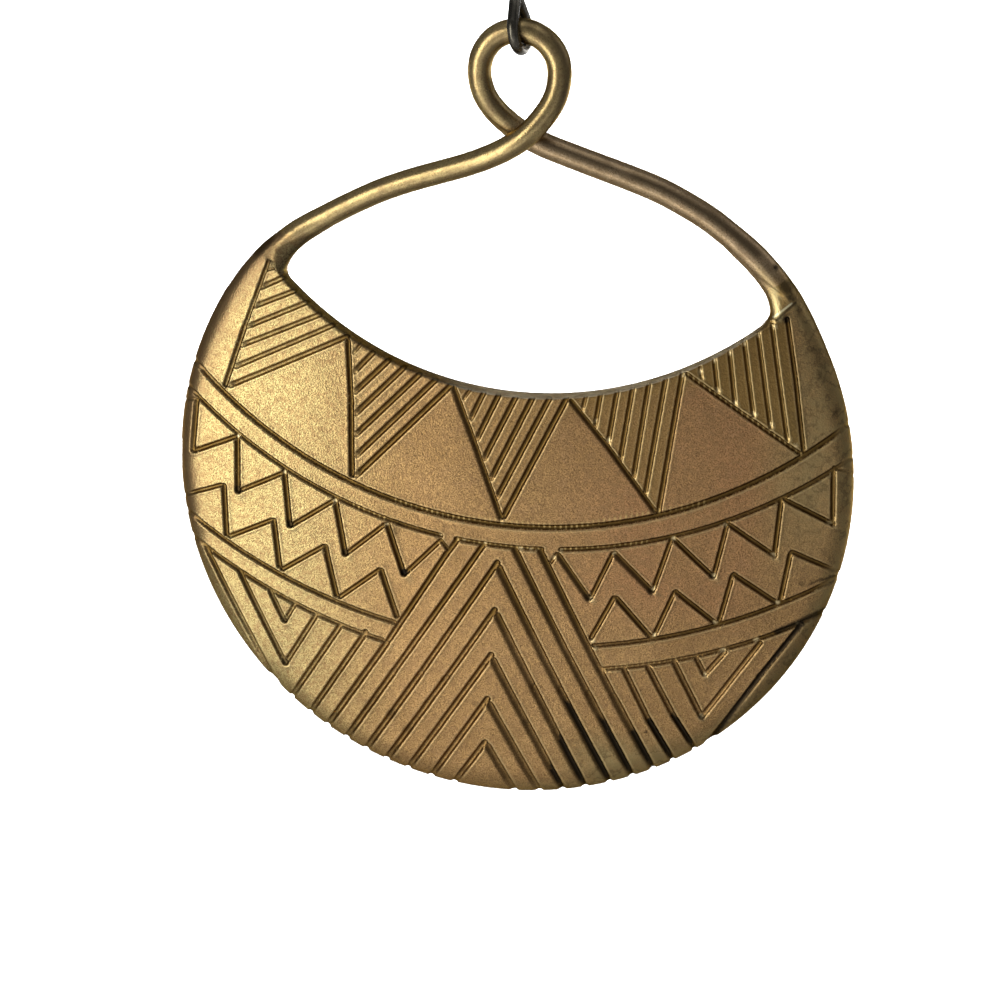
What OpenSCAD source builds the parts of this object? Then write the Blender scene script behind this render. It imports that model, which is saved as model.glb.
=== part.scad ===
// Dangle earring: an engraved crescent plate that hangs from a wire bail
// twisted into a loop, on a plain fish-hook ear wire with a teardrop eye.
// Origin at the top of the ear wire's bow, +Z up, the plate faces -Y.

/* [Pendant] */
// Width of the crescent across its outer edge
crescent_w = 43; // [36:0.5:50]
// Thickness of the crescent plate
plate_t = 1.55; // [1.2:0.05:2]
// Radius of the shallow dome that the plate is pressed to
dome_r = 100; // [80:5:200]
// Diameter of the bail wire
bail_d = 1.48; // [1.3:0.02:1.8]
// Width of the roll-off along the front of the outer edge
rim_w = 1.7; // [0.8:0.1:2.4]
// Angle by which the pendant hangs out of its own axis, because its loop is off centre
hang_tilt = 2.2; // [0:0.1:4]

/* [Ear wire] */
// Diameter of the ear wire
hook_d = 0.7; // [0.6:0.05:0.8]
// Radius of the bow that goes over the ear, to the wire's centre
bow_r = 4.2; // [3.6:0.1:6]
// Straight length from the bow down to the eye
shank_l = 10.5; // [6:0.5:14]
// Straight length of the tail behind the ear
tail_l = 9; // [5:0.5:14]
// Turn of the whole ear wire about the vertical
hook_turn = 12; // [0:1:20]
// Sideways lean of the eye
eye_lean = 9; // [0:1:12]
// Gap between the eye and the pendant's loop
eye_gap = 0.07; // [0.05:0.01:0.1]

/* [Finish] */
// Points round each section of the pendant
ring_n = 28; // [24:4:36]
// Steps between two rows of the bail's table
bail_steps = 3; // [2:1:4]
// Steps round the crescent plate
plate_steps = 44; // [36:4:60]

/* [Hidden] */
k = crescent_w / 43;
brass = [0.72, 0.56, 0.30];
dark_steel = [0.30, 0.30, 0.31];

// ---- crescent: outer edge about the origin of the pendant's own frame,
// ---- opening edge about a centre above it
outer_r = 21.5 * k;
open_r = 23.1 * k;
open_z = 28.95 * k;
half_t = plate_t / 2;

// Centre line of the bail wire, from the left horn, up the front of the
// crossing, round the loop and down behind the crossing to the right horn.
// columns: x, z, y, wire thickness factor
bail_rows = [
    [-12.50, 15.57, 1.95, 0.99],
    [-11.20, 16.39, 1.82, 0.98],
    [ -9.35, 17.45, 1.62, 0.98],
    [ -7.45, 18.33, 1.42, 0.98],
    [ -5.60, 19.07, 1.20, 0.98],
    [ -3.95, 19.73, 0.98, 0.98],
    [ -2.50, 20.44, 0.68, 0.99],
    [ -1.25, 21.22, 0.38, 0.99],
    [ -0.20, 22.10, 0.30, 1.00],
    [  0.65, 23.18, 0.42, 1.00],
    [  1.25, 24.32, 0.60, 1.00],
    [  1.45, 25.55, 0.80, 1.01],
    [  1.22, 26.75, 0.94, 1.02],
    [  0.50, 27.68, 1.02, 1.02],
    [ -0.62, 28.21, 1.08, 1.02],
    [ -1.75, 28.13, 1.14, 1.02],
    [ -2.75, 27.57, 1.21, 1.01],
    [ -3.40, 26.55, 1.28, 1.00],
    [ -3.53, 25.38, 1.38, 0.99],
    [ -3.24, 24.22, 1.55, 0.99],
    [ -2.60, 23.25, 1.74, 1.00],
    [ -1.70, 22.44, 1.90, 1.01],
    [ -0.60, 21.74, 1.98, 1.02],
    [  0.70, 21.19, 2.00, 1.03],
    [  2.25, 20.73, 2.01, 1.04],
    [  4.15, 20.20, 2.02, 1.05],
    [  6.05, 19.67, 2.04, 1.06],
    [  7.95, 19.07, 2.06, 1.07],
    [  9.70, 18.31, 2.08, 1.07],
    [ 11.20, 17.53, 2.10, 1.07],
    [ 12.50, 16.66, 2.12, 1.07]
];

// Row of the loop's top, where the ear wire's eye carries it
top_row = 14.5;

// Left horn, from the bail down to the crescent, a row for each section.
// columns: outer x, outer z, inner x, inner z, share of the plate's section,
// set-back of the front edge from the inner wall
left_horn = [
    [-13.86, 15.58, -12.99, 14.29, 0.00, 0.90],
    [-14.87, 14.92, -13.74, 13.72, 0.15, 0.95],
    [-15.76, 14.20, -14.30, 13.18, 0.55, 1.00],
    [-16.50, 13.49, -14.70, 12.68, 1.00, 0.95],
    [-17.13, 12.78, -14.96, 12.20, 1.00, 0.72],
    [-17.68, 12.08, -15.07, 11.84, 1.00, 0.30],
    [-18.18, 11.38, -15.02, 11.55, 1.00, 0.08],
    [-18.70, 10.52, -14.84, 11.24, 1.00, 0.00]
];

// Right horn, the same columns
right_horn = [
    [ 13.72, 16.78,  12.72, 15.43, 0.00, 0.90],
    [ 14.59, 16.12,  13.45, 14.82, 0.05, 0.90],
    [ 15.34, 15.44,  14.08, 14.22, 0.15, 0.95],
    [ 16.03, 14.76,  14.60, 13.66, 0.35, 1.00],
    [ 16.61, 14.05,  14.98, 13.12, 0.70, 1.15],
    [ 17.09, 13.35,  15.19, 12.62, 1.00, 1.15],
    [ 17.55, 12.64,  15.27, 12.22, 1.00, 0.95],
    [ 17.99, 11.94,  15.23, 11.92, 1.00, 0.66],
    [ 18.40, 11.21,  15.07, 11.60, 1.00, 0.33],
    [ 18.82, 10.42,  14.78, 11.22, 1.00, 0.12]
];

// ---- smooth curve through the rows of a table
function cubic(a, b, c, d, t) =
    0.5 * (2 * b + (c - a) * t + (2 * a - 5 * b + 4 * c - d) * t * t
        + (3 * b - a - 3 * c + d) * t * t * t);
function row(tab, i) = tab[max(0, min(len(tab) - 1, i))];
function along(tab, u) = let (i = min(len(tab) - 2, floor(u)), t = u - i)
    cubic(row(tab, i - 1), row(tab, i), row(tab, i + 1), row(tab, i + 2), t);

function unit(v) = v / norm(v);
function mix(a, b, t) = a + (b - a) * t;
function dome(x, z) = (x * x + z * z) / (2 * dome_r);

// ---- stations: outer x, outer z, inner x, inner z, half thickness, y, plate share, set-back
function bail_station(u) = let (
    p = along(bail_rows, u),
    d = along(bail_rows, min(len(bail_rows) - 1, u + 0.05)) - along(bail_rows, max(0, u - 0.05)),
    t = unit([d[0], d[1]]), n = [-t[1], t[0]], r = p[3] * bail_d / 2)
    [k * p[0] + n[0] * r, k * p[1] + n[1] * r, k * p[0] - n[0] * r, k * p[1] - n[1] * r, r, k * p[2], 0, 0];

function horn_station(h, y0, r0) = [k * h[0], k * h[1], k * h[2], k * h[3], mix(r0, half_t, h[4]), y0, h[4], h[5]];

// The plate's sections turn about the outer centre and the opening's centre together
plate_a0 = 24;      // outer angle where the plate starts on the right
plate_a1 = -207;    // and where it ends on the left
open_a0 = -52.2;    // the same two sections at the opening
open_a1 = -129.0;
function plate_station(f) = let (a = mix(plate_a0, plate_a1, f), b = mix(open_a0, open_a1, f))
    [outer_r * cos(a), outer_r * sin(a), open_r * cos(b), open_z + open_r * sin(b), half_t, 0, 1, 0];

last = len(bail_rows) - 1;
y_left = k * bail_rows[0][2] + 0.12;
y_right = k * bail_rows[last][2] + 0.03;
stations = concat(
    [for (i = [0 : last * bail_steps]) bail_station(i / bail_steps)],
    [for (h = right_horn) horn_station(h, y_right, bail_d * 0.53)],
    [for (i = [0 : plate_steps]) plate_station(i / plate_steps)],
    [for (i = [len(left_horn) - 1 : -1 : 0]) horn_station(left_horn[i], y_left, bail_d * 0.505)]
);

// ---- section of the plate, from the inner wall along the front to the outer
// ---- edge and back: crisp corner at the opening, rolled edge outside; b sets
// ---- the front corner back from the wall, where the horn runs into the wire
edge_c = 0.10;      // corner between the front and the opening's wall
back_c = 0.22;      // corner between the back and the opening's wall
n_front = ring_n / 4 + 1;
n_rim = ring_n / 4 + 1;
n_back = ring_n / 4 - 1;
n_wall = ring_n - n_front - n_rim - n_back;
function plate_section(w, h, b0) = let (
    rf = min(rim_w, 0.6 * w), rb = min(0.45, 0.3 * w), m = 0.1 * h,
    b = min(b0, 0.9 * (2 * w - rf) - edge_c), v = min(1, b / 0.4))
    concat(
        // wall and front corner
        [[-w, 0],
         [-w + 0.2 * b, -mix(h - edge_c, 0.55 * h, v)],
         [-w + mix(0.3 * edge_c, b, v), -h + mix(0.3, 1, v) * edge_c],
         [-w + b + edge_c, -h]],
        // front face
        [for (i = [1 : n_front]) [mix(-w + b + edge_c, w - rf, i / n_front), -h]],
        // rolled edge, front part and back part
        [for (i = [1 : n_rim - 2]) let (a = 90 * i / (n_rim - 2)) [w - rf + rf * sin(a), m - (h + m) * cos(a)]],
        [for (i = [1 : 2]) let (a = 45 * i) [w - rb + rb * cos(a), m + (h - m) * sin(a)]],
        // back face and back corner
        [for (i = [1 : n_back]) [mix(w - rb, -w + back_c, i / n_back), h]],
        [for (i = [1 : n_wall - 4]) let (a = 90 * i / (n_wall - 4)) [-w + back_c - back_c * sin(a), h - back_c + back_c * cos(a)]]
    );
function round_section(w, h) = [for (j = [0 : ring_n - 1]) let (a = 180 + j * 360 / ring_n) [w * cos(a), h * sin(a)]];

function ring(s) = let (
    o = [s[0], s[1]], i = [s[2], s[3]], c = (o + i) / 2, w = norm(o - i) / 2, side = unit(o - i),
    a = round_section(w, s[4]), b = plate_section(w, half_t, s[7]))
    [for (j = [0 : ring_n - 1]) let (q = mix(a[j], b[j], s[6]), x = c[0] + side[0] * q[0], z = c[1] + side[1] * q[0])
        [x, mix(s[5], dome(x, z), s[6]) + q[1], z]];

rings = [for (s = stations) ring(s)];
points = [for (r = rings) each r];
faces = [for (i = [0 : len(rings) - 1]) for (j = [0 : ring_n - 1]) let (
    i2 = (i + 1) % len(rings), j2 = (j + 1) % ring_n,
    a = i * ring_n + j, b = i * ring_n + j2, c = i2 * ring_n + j2, d = i2 * ring_n + j) each [[a, b, c], [a, c, d]]];

// ---- the pivot, in the pendant's own frame: centre of the wire at the loop's top
pivot_row = along(bail_rows, top_row);
pivot_own = k * [pivot_row[0], pivot_row[2], pivot_row[1]];

// ---- ear wire, in its own plane: y back over the ear, z up
hr = hook_d / 2;
carry = bail_d * 1.03 / 2 + hr + eye_gap;   // pivot down to the eye's lowest centre point
eye_r = 1.18;                               // bottom arc of the eye, to the wire's centre
eye_up = 2.25;                              // pivot up to the eye's closed tip
eye_c = eye_r - carry;                      // pivot up to the centre of the bottom arc
eye_b = asin(eye_r / (eye_up - eye_c));     // half angle between the eye's two sides
tip_z = -bow_r - shank_l;                   // the eye's tip

// pivot in the ear wire's plane, then in the part's frame
pivot_hook = [eye_up * sin(eye_lean), -bow_r, tip_z - eye_up * cos(eye_lean)];
pivot = [pivot_hook[0] * cos(hook_turn) + pivot_hook[1] * sin(hook_turn),
         -pivot_hook[0] * sin(hook_turn) + pivot_hook[1] * cos(hook_turn), pivot_hook[2]];

module pendant() {
    color(brass)
    translate(pivot) rotate([0, hang_tilt, 0]) translate(-pivot_own)
        polyhedron(points = points, faces = faces, convexity = 8);
}

// Part of a bent wire: an arc in the y-z plane about the origin, from angle a
// (0 is +y, 90 is +z) over the given sweep
module wire_arc(r, a, sweep) {
    rotate([a, 0, 0]) rotate([90, 0, 90]) rotate_extrude(angle = sweep, $fn = 96) translate([r, 0]) circle(r = hr, $fn = 32);
}

// A straight piece of wire up from the origin, stopping just short at both ends
module wire_rod(l) {
    translate([0, 0, 0.01]) cylinder(h = l - 0.02, r = hr, $fn = 32);
}

// A solder bead over the joint of two pieces of wire
module bead() {
    sphere(r = 1.04 * hr, $fn = 32);
}

// Teardrop eye: a bottom arc and two straight sides that meet in a tip
module eye() {
    l = sqrt(pow(eye_up - eye_c, 2) - eye_r * eye_r);
    translate([0, 0, eye_c]) wire_arc(eye_r, 180 - eye_b, 180 + 2 * eye_b);
    for (s = [-1, 1]) translate([0, 0, eye_up]) rotate([s * eye_b, 0, 0]) translate([0, 0, -l]) {
        wire_rod(l);
        bead();
    }
}

module ear_hook() {
    color(dark_steel) rotate([0, 0, -hook_turn]) union() {
        // bow over the ear
        translate([0, 0, -bow_r]) wire_arc(bow_r, 0, 180);
        for (s = [-1, 1]) translate([0, s * bow_r, -bow_r]) bead();
        // shank in front of the ear, down to the eye's tip
        translate([0, -bow_r, tip_z]) {
            wire_rod(shank_l);
            bead();
            // eye, leaning a little sideways
            rotate([0, -eye_lean, 0]) translate([0, 0, -eye_up]) eye();
        }
        // straight tail behind the ear, cut square at its end
        translate([0, bow_r, -bow_r - tail_l]) wire_rod(tail_l);
    }
}

pendant();
ear_hook();
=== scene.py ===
import math

import bpy
import numpy as np
from mathutils import Matrix, Vector, geometry
from mathutils.bvhtree import BVHTree


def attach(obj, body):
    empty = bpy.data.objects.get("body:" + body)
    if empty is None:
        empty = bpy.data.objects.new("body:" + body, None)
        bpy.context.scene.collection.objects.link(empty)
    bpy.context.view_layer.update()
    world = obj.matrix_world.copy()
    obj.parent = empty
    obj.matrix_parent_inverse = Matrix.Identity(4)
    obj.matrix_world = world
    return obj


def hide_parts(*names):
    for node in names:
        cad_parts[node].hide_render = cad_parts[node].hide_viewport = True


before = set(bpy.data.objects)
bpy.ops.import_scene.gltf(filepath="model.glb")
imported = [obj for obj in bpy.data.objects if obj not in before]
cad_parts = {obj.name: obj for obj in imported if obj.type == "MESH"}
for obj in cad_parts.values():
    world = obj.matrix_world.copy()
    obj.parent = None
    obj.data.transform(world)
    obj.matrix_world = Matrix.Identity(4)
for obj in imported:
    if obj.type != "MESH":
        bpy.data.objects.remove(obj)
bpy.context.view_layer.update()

rng = np.random.default_rng(7)

# ============================================================ sizes, in mm
# The pendant's own frame: x right, y back, z up, origin at the centre of the
# crescent's outer circle. The tables are those of the CAD part.
OUTER_R, OPEN_R, OPEN_Z = 21.5, 23.1, 28.95
HALF_T, DOME_R, BAIL_D, RIM_W = 0.775, 100.0, 1.48, 1.7
EDGE_C, BACK_C = 0.10, 0.22
HOOK_D, BOW_R, SHANK_L, TAIL_L = 0.7, 4.2, 10.5, 9.0
HOOK_TURN, EYE_LEAN, EYE_R, EYE_UP = 12.0, 9.0, 1.18, 2.25
EYE_GAP, HANG_TILT, TOP_ROW = 0.07, 2.2, 14.5

# Bail wire's centre line. columns: x, z, y, wire thickness factor
BAIL = np.array([
    [-12.50, 15.57, 1.95, 0.99], [-11.20, 16.39, 1.82, 0.98], [-9.35, 17.45, 1.62, 0.98],
    [-7.45, 18.33, 1.42, 0.98], [-5.60, 19.07, 1.20, 0.98], [-3.95, 19.73, 0.98, 0.98],
    [-2.50, 20.44, 0.68, 0.99], [-1.25, 21.22, 0.38, 0.99], [-0.20, 22.10, 0.30, 1.00],
    [0.65, 23.18, 0.42, 1.00], [1.25, 24.32, 0.60, 1.00], [1.45, 25.55, 0.80, 1.01],
    [1.22, 26.75, 0.94, 1.02], [0.50, 27.68, 1.02, 1.02], [-0.62, 28.21, 1.08, 1.02],
    [-1.75, 28.13, 1.14, 1.02], [-2.75, 27.57, 1.21, 1.01], [-3.40, 26.55, 1.28, 1.00],
    [-3.53, 25.38, 1.38, 0.99], [-3.24, 24.22, 1.55, 0.99], [-2.60, 23.25, 1.74, 1.00],
    [-1.70, 22.44, 1.90, 1.01], [-0.60, 21.74, 1.98, 1.02], [0.70, 21.19, 2.00, 1.03],
    [2.25, 20.73, 2.01, 1.04], [4.15, 20.20, 2.02, 1.05], [6.05, 19.67, 2.04, 1.06],
    [7.95, 19.07, 2.06, 1.07], [9.70, 18.31, 2.08, 1.07], [11.20, 17.53, 2.10, 1.07],
    [12.50, 16.66, 2.12, 1.07],
])
# Horns. columns: outer x, outer z, inner x, inner z, share of the plate's section, set-back
LEFT_HORN = np.array([
    [-13.86, 15.58, -12.99, 14.29, 0.00, 0.90], [-14.87, 14.92, -13.74, 13.72, 0.15, 0.95],
    [-15.76, 14.20, -14.30, 13.18, 0.55, 1.00], [-16.50, 13.49, -14.70, 12.68, 1.00, 0.95],
    [-17.13, 12.78, -14.96, 12.20, 1.00, 0.72], [-17.68, 12.08, -15.07, 11.84, 1.00, 0.30],
    [-18.18, 11.38, -15.02, 11.55, 1.00, 0.08], [-18.70, 10.52, -14.84, 11.24, 1.00, 0.00],
])
RIGHT_HORN = np.array([
    [13.72, 16.78, 12.72, 15.43, 0.00, 0.90], [14.59, 16.12, 13.45, 14.82, 0.05, 0.90],
    [15.34, 15.44, 14.08, 14.22, 0.15, 0.95], [16.03, 14.76, 14.60, 13.66, 0.35, 1.00],
    [16.61, 14.05, 14.98, 13.12, 0.70, 1.15], [17.09, 13.35, 15.19, 12.62, 1.00, 1.15],
    [17.55, 12.64, 15.27, 12.22, 1.00, 0.95], [17.99, 11.94, 15.23, 11.92, 1.00, 0.66],
    [18.40, 11.21, 15.07, 11.60, 1.00, 0.33], [18.82, 10.42, 14.78, 11.22, 1.00, 0.12],
])

# ============================================================ engraving
# Lines of the front, where they show when the plate is looked at from the
# front and a little above. columns: start x, z, end x, z, width, depth,
# soft side (-1 left of the way it runs, 1 right, 0 none, 2 only a little), run-out at the end
LINES = [
    # five hatched triangles: each one's long left leg first, then its hatching
    (-16.05, 12.50, -17.40, 8.05, 0.30, 0.17, 0, 0), (-17.40, 8.05, -18.48, 4.15, 0.38, 0.19, 0, 0),
    (-15.72, 11.96, -16.22, 11.82, 0.20, 0.10, 0, 0), (-14.95, 11.57, -16.45, 10.70, 0.38, 0.15, 0, 1),
    (-14.20, 10.80, -16.82, 9.45, 0.36, 0.15, 0, 1), (-13.35, 10.20, -17.18, 8.12, 0.36, 0.15, 0, 1),
    (-12.42, 9.56, -17.50, 6.88, 0.36, 0.15, 0, 1), (-11.55, 9.00, -17.85, 5.45, 0.36, 0.15, 0, 1),
    (-10.60, 8.40, -18.15, 4.18, 0.38, 0.16, 0, 1),
    (-10.56, 8.10, -10.12, 4.40, 0.38, 0.19, 0, 0), (-10.12, 4.40, -9.80, -0.45, 0.42, 0.20, 0, 0),
    (-9.75, 7.95, -10.15, 7.42, 0.26, 0.12, 0, 1), (-8.90, 7.58, -10.00, 6.25, 0.40, 0.15, 0, 1),
    (-7.82, 7.28, -9.87, 4.98, 0.42, 0.16, 0, 1), (-6.80, 6.97, -9.75, 3.60, 0.42, 0.16, 0, 1),
    (-5.82, 6.62, -9.66, 2.25, 0.42, 0.16, 0, 1), (-4.78, 6.40, -9.55, 0.90, 0.42, 0.16, 0, 1),
    (-3.82, 6.12, -9.50, -0.42, 0.42, 0.17, 0, 1),
    (-3.62, 6.05, -2.05, 2.60, 0.36, 0.17, 1, 0), (-2.05, 2.60, -0.10, -2.00, 0.34, 0.18, 1, 0),
    (-2.60, 5.98, -2.95, 5.40, 0.26, 0.12, 0, 1), (-1.70, 5.96, -2.40, 4.20, 0.38, 0.15, 0, 1),
    (-0.73, 5.97, -1.93, 2.95, 0.40, 0.16, 0, 1), (0.32, 5.90, -1.40, 1.72, 0.40, 0.16, 0, 1),
    (1.34, 5.90, -0.88, 0.47, 0.40, 0.16, 0, 1), (2.40, 6.00, -0.43, -0.72, 0.40, 0.16, 0, 1),
    (3.44, 6.05, 0.08, -1.90, 0.42, 0.17, 0, 0),
    (3.72, 5.98, 6.33, 3.17, 0.30, 0.16, 1, 0), (6.33, 3.17, 9.46, -0.62, 0.30, 0.17, 1, 0),
    (4.62, 6.30, 4.46, 5.45, 0.26, 0.12, -2, 1), (5.50, 6.50, 5.33, 4.50, 0.31, 0.15, -2, 1),
    (6.50, 6.78, 6.21, 3.45, 0.32, 0.15, -2, 1), (7.43, 7.04, 7.04, 2.45, 0.32, 0.15, -2, 1),
    (8.39, 7.37, 7.95, 1.50, 0.32, 0.15, -2, 1), (9.39, 7.79, 8.75, 0.45, 0.32, 0.15, -2, 1),
    (10.39, 8.22, 9.66, -0.72, 0.35, 0.16, -2, 0),
    (10.65, 8.25, 14.29, 6.00, 0.30, 0.16, 0, 0), (14.29, 6.00, 18.05, 3.68, 0.32, 0.16, 0, 0),
    (11.42, 8.72, 11.57, 8.05, 0.24, 0.12, -2, 1), (12.22, 9.30, 12.63, 7.27, 0.28, 0.14, -2, 1),
    (13.12, 9.82, 13.75, 6.55, 0.28, 0.14, -2, 1), (13.94, 10.50, 14.93, 5.94, 0.28, 0.14, -2, 1),
    (14.73, 11.07, 16.03, 5.26, 0.28, 0.14, -2, 1), (15.48, 11.78, 17.13, 4.52, 0.28, 0.14, -2, 1),
    (16.42, 12.05, 17.30, 8.30, 0.31, 0.16, 0, 0), (17.30, 8.30, 18.20, 3.85, 0.31, 0.16, 0, 0),
    # upper zigzag
    (-20.38, 2.85, -20.52, -0.45, 0.42, 0.18, 0, 0), (-20.45, 2.95, -21.60, 2.75, 0.30, 0.14, 0, 0),
    (-21.42, 0.10, -21.40, -1.60, 0.26, 0.12, 0, 0), (-20.40, -0.50, -17.62, 0.90, 0.36, 0.17, 0, 0), (-17.50, 0.95, -17.33, -2.68, 0.42, 0.20, 0, 0),
    (-17.20, -2.62, -14.35, -1.00, 0.34, 0.16, 0, 0), (-14.25, -0.85, -13.75, -4.42, 0.42, 0.20, 0, 0),
    (-13.60, -4.38, -10.92, -2.32, 0.34, 0.16, 0, 0), (-10.80, -2.25, -10.00, -5.78, 0.42, 0.20, 0, 0),
    (-9.88, -5.72, -7.50, -3.42, 0.34, 0.16, 0, 0), (-7.32, -3.40, -6.12, -6.58, 0.42, 0.21, 0, 0),
    (-5.95, -6.45, -3.85, -3.98, 0.34, 0.16, 0, 0), (-3.80, -4.00, -3.36, -4.50, 0.30, 0.14, 0, 0),
    (3.66, -4.05, 5.76, -6.80, 0.36, 0.17, 1, 0), (5.88, -6.70, 7.02, -3.70, 0.34, 0.16, 0, 0),
    (3.56, -4.02, 3.22, -4.62, 0.28, 0.13, 0, 0), (7.18, -3.60, 9.66, -5.92, 0.36, 0.17, 1, 0),
    (9.72, -5.85, 10.60, -2.40, 0.34, 0.16, 0, 0), (10.75, -2.35, 13.34, -4.64, 0.36, 0.17, 0, 0),
    (13.40, -4.60, 13.95, -1.15, 0.34, 0.16, 0, 0), (14.10, -1.15, 17.05, -3.00, 0.36, 0.17, 0, 0),
    (17.02, -3.00, 17.12, 0.60, 0.36, 0.17, 0, 0), (17.35, 0.70, 20.45, -0.72, 0.36, 0.17, 0, 0),
    (20.42, -0.72, 20.12, 2.68, 0.36, 0.16, 0, 0), (20.15, 2.95, 22.50, 2.20, 0.30, 0.14, 0, 0),
    # lower zigzag
    (-22.00, -4.00, -18.45, -2.45, 0.32, 0.16, 0, 0), (-18.28, -2.50, -18.00, -5.75, 0.42, 0.19, 0, 0),
    (-17.80, -5.85, -14.95, -4.25, 0.34, 0.16, 0, 0), (-14.82, -4.28, -14.35, -7.30, 0.42, 0.19, 0, 0),
    (-14.15, -7.50, -11.45, -5.48, 0.34, 0.16, 0, 0), (-11.33, -5.50, -10.48, -8.70, 0.42, 0.19, 0, 0),
    (-10.25, -8.80, -7.72, -6.52, 0.34, 0.16, 0, 0), (-7.60, -6.55, -6.45, -9.55, 0.42, 0.18, 0, 0),
    (6.05, -9.50, 7.32, -6.60, 0.36, 0.16, 0, 0), (7.48, -6.62, 9.80, -9.10, 0.40, 0.18, 0, 0),
    (9.98, -9.00, 11.05, -5.90, 0.34, 0.16, 0, 0), (11.15, -5.85, 13.85, -7.85, 0.38, 0.17, 0, 0),
    (13.95, -7.75, 14.55, -4.50, 0.34, 0.16, 0, 0), (14.65, -4.42, 17.50, -6.18, 0.38, 0.17, 0, 0),
    (17.62, -6.15, 18.00, -2.80, 0.36, 0.16, 0, 0), (18.08, -2.68, 22.50, -4.40, 0.36, 0.16, 0, 0),
    # chevrons of the middle, left and right legs, outer ones first
    (-2.80, -3.85, -3.44, -4.90, 0.40, 0.17, 0, 0), (-3.40, -4.80, -7.05, -11.54, 0.42, 0.18, 0, 0),
    (-7.05, -11.54, -11.70, -19.60, 0.46, 0.20, 0, 0), (-1.05, -3.86, -6.47, -13.41, 0.42, 0.18, 0, 0),
    (-6.47, -13.41, -10.50, -20.50, 0.46, 0.20, 0, 0), (-0.15, -5.02, -4.73, -13.32, 0.42, 0.18, 0, 0),
    (-4.73, -13.32, -9.10, -21.00, 0.46, 0.20, 0, 0), (-0.15, -8.25, -3.04, -13.41, 0.42, 0.18, 0, 0),
    (-3.04, -13.41, -7.75, -21.60, 0.46, 0.20, 0, 0), (-0.22, -11.40, -6.20, -21.90, 0.44, 0.19, 0, 0),
    (-0.34, -14.58, -4.60, -22.20, 0.44, 0.19, 0, 0), (-0.38, -17.78, -2.95, -22.20, 0.44, 0.19, 0, 0),
    (2.55, -3.95, 7.71, -13.41, 0.42, 0.18, 1, 0), (7.71, -13.41, 11.50, -20.20, 0.46, 0.21, 1, 0),
    (0.90, -3.95, 6.10, -13.40, 0.42, 0.18, 1, 0), (6.10, -13.40, 10.20, -20.90, 0.46, 0.21, 1, 0),
    (0.00, -5.35, 4.32, -13.32, 0.46, 0.18, 1, 0), (4.32, -13.32, 8.80, -21.60, 0.46, 0.21, 1, 0),
    (0.05, -8.60, 2.58, -13.32, 0.46, 0.18, 1, 0), (2.58, -13.32, 7.20, -22.10, 0.46, 0.21, 1, 0),
    (-0.05, -11.75, 5.70, -22.30, 0.46, 0.20, 1, 0), (-0.15, -14.95, 4.10, -22.40, 0.46, 0.20, 1, 0),
    (-0.18, -18.00, 2.50, -22.60, 0.46, 0.20, 1, 0),
    # lower left and lower right: outer lines, nested Vs and lines to the rim
    (-19.35, -7.00, -14.20, -16.10, 0.42, 0.18, 0, 0), (-17.05, -8.15, -13.82, -14.12, 0.42, 0.20, 0, 0),
    (-13.78, -14.08, -11.80, -10.35, 0.38, 0.17, 0, 0), (-14.92, -9.20, -13.92, -11.08, 0.40, 0.19, 0, 0),
    (-13.85, -11.05, -13.22, -9.75, 0.32, 0.16, 0, 0), (-10.15, -10.78, -14.20, -18.00, 0.42, 0.18, 0, 0),
    (-8.45, -10.98, -13.00, -19.10, 0.42, 0.19, 0, 0),
    (19.00, -7.65, 16.90, -11.10, 0.40, 0.17, 0, 0), (16.90, -11.10, 13.60, -16.90, 0.42, 0.18, 0, 0),
    (16.62, -8.95, 13.38, -14.40, 0.40, 0.17, 0, 0), (11.35, -10.65, 13.34, -14.40, 0.42, 0.18, 0, 0),
    (14.48, -9.75, 13.36, -11.38, 0.36, 0.17, 0, 0), (12.75, -10.30, 13.32, -11.38, 0.36, 0.17, 0, 0),
    (8.20, -11.36, 9.96, -14.80, 0.42, 0.18, 0, 0), (9.96, -14.80, 12.80, -19.50, 0.46, 0.21, 0, 0),
    (9.75, -11.15, 11.57, -14.46, 0.42, 0.18, 0, 0), (11.57, -14.46, 14.30, -18.70, 0.44, 0.20, 0, 0),
]
# The long curved lines, each part of a circle. columns: centre x, z, radius,
# from x, to x, width, depth
ARCS = [
    (-0.10, 28.10, 30.60, -23.0, 23.0, 0.42, 0.19),
    (0.15, 29.25, 33.15, -23.0, -3.85, 0.36, 0.16), (0.15, 29.25, 33.15, -2.85, 2.60, 0.36, 0.16), (0.15, 29.25, 33.15, 3.80, 23.0, 0.36, 0.16),
    (-0.15, 28.10, 38.65, -23.0, -6.60, 0.38, 0.17), (-0.15, 28.10, 38.65, 6.25, 23.0, 0.36, 0.17),
    (0.35, 27.20, 39.35, -23.0, -7.30, 0.38, 0.17), (0.35, 27.20, 39.35, 6.80, 23.0, 0.36, 0.17),
]
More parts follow.
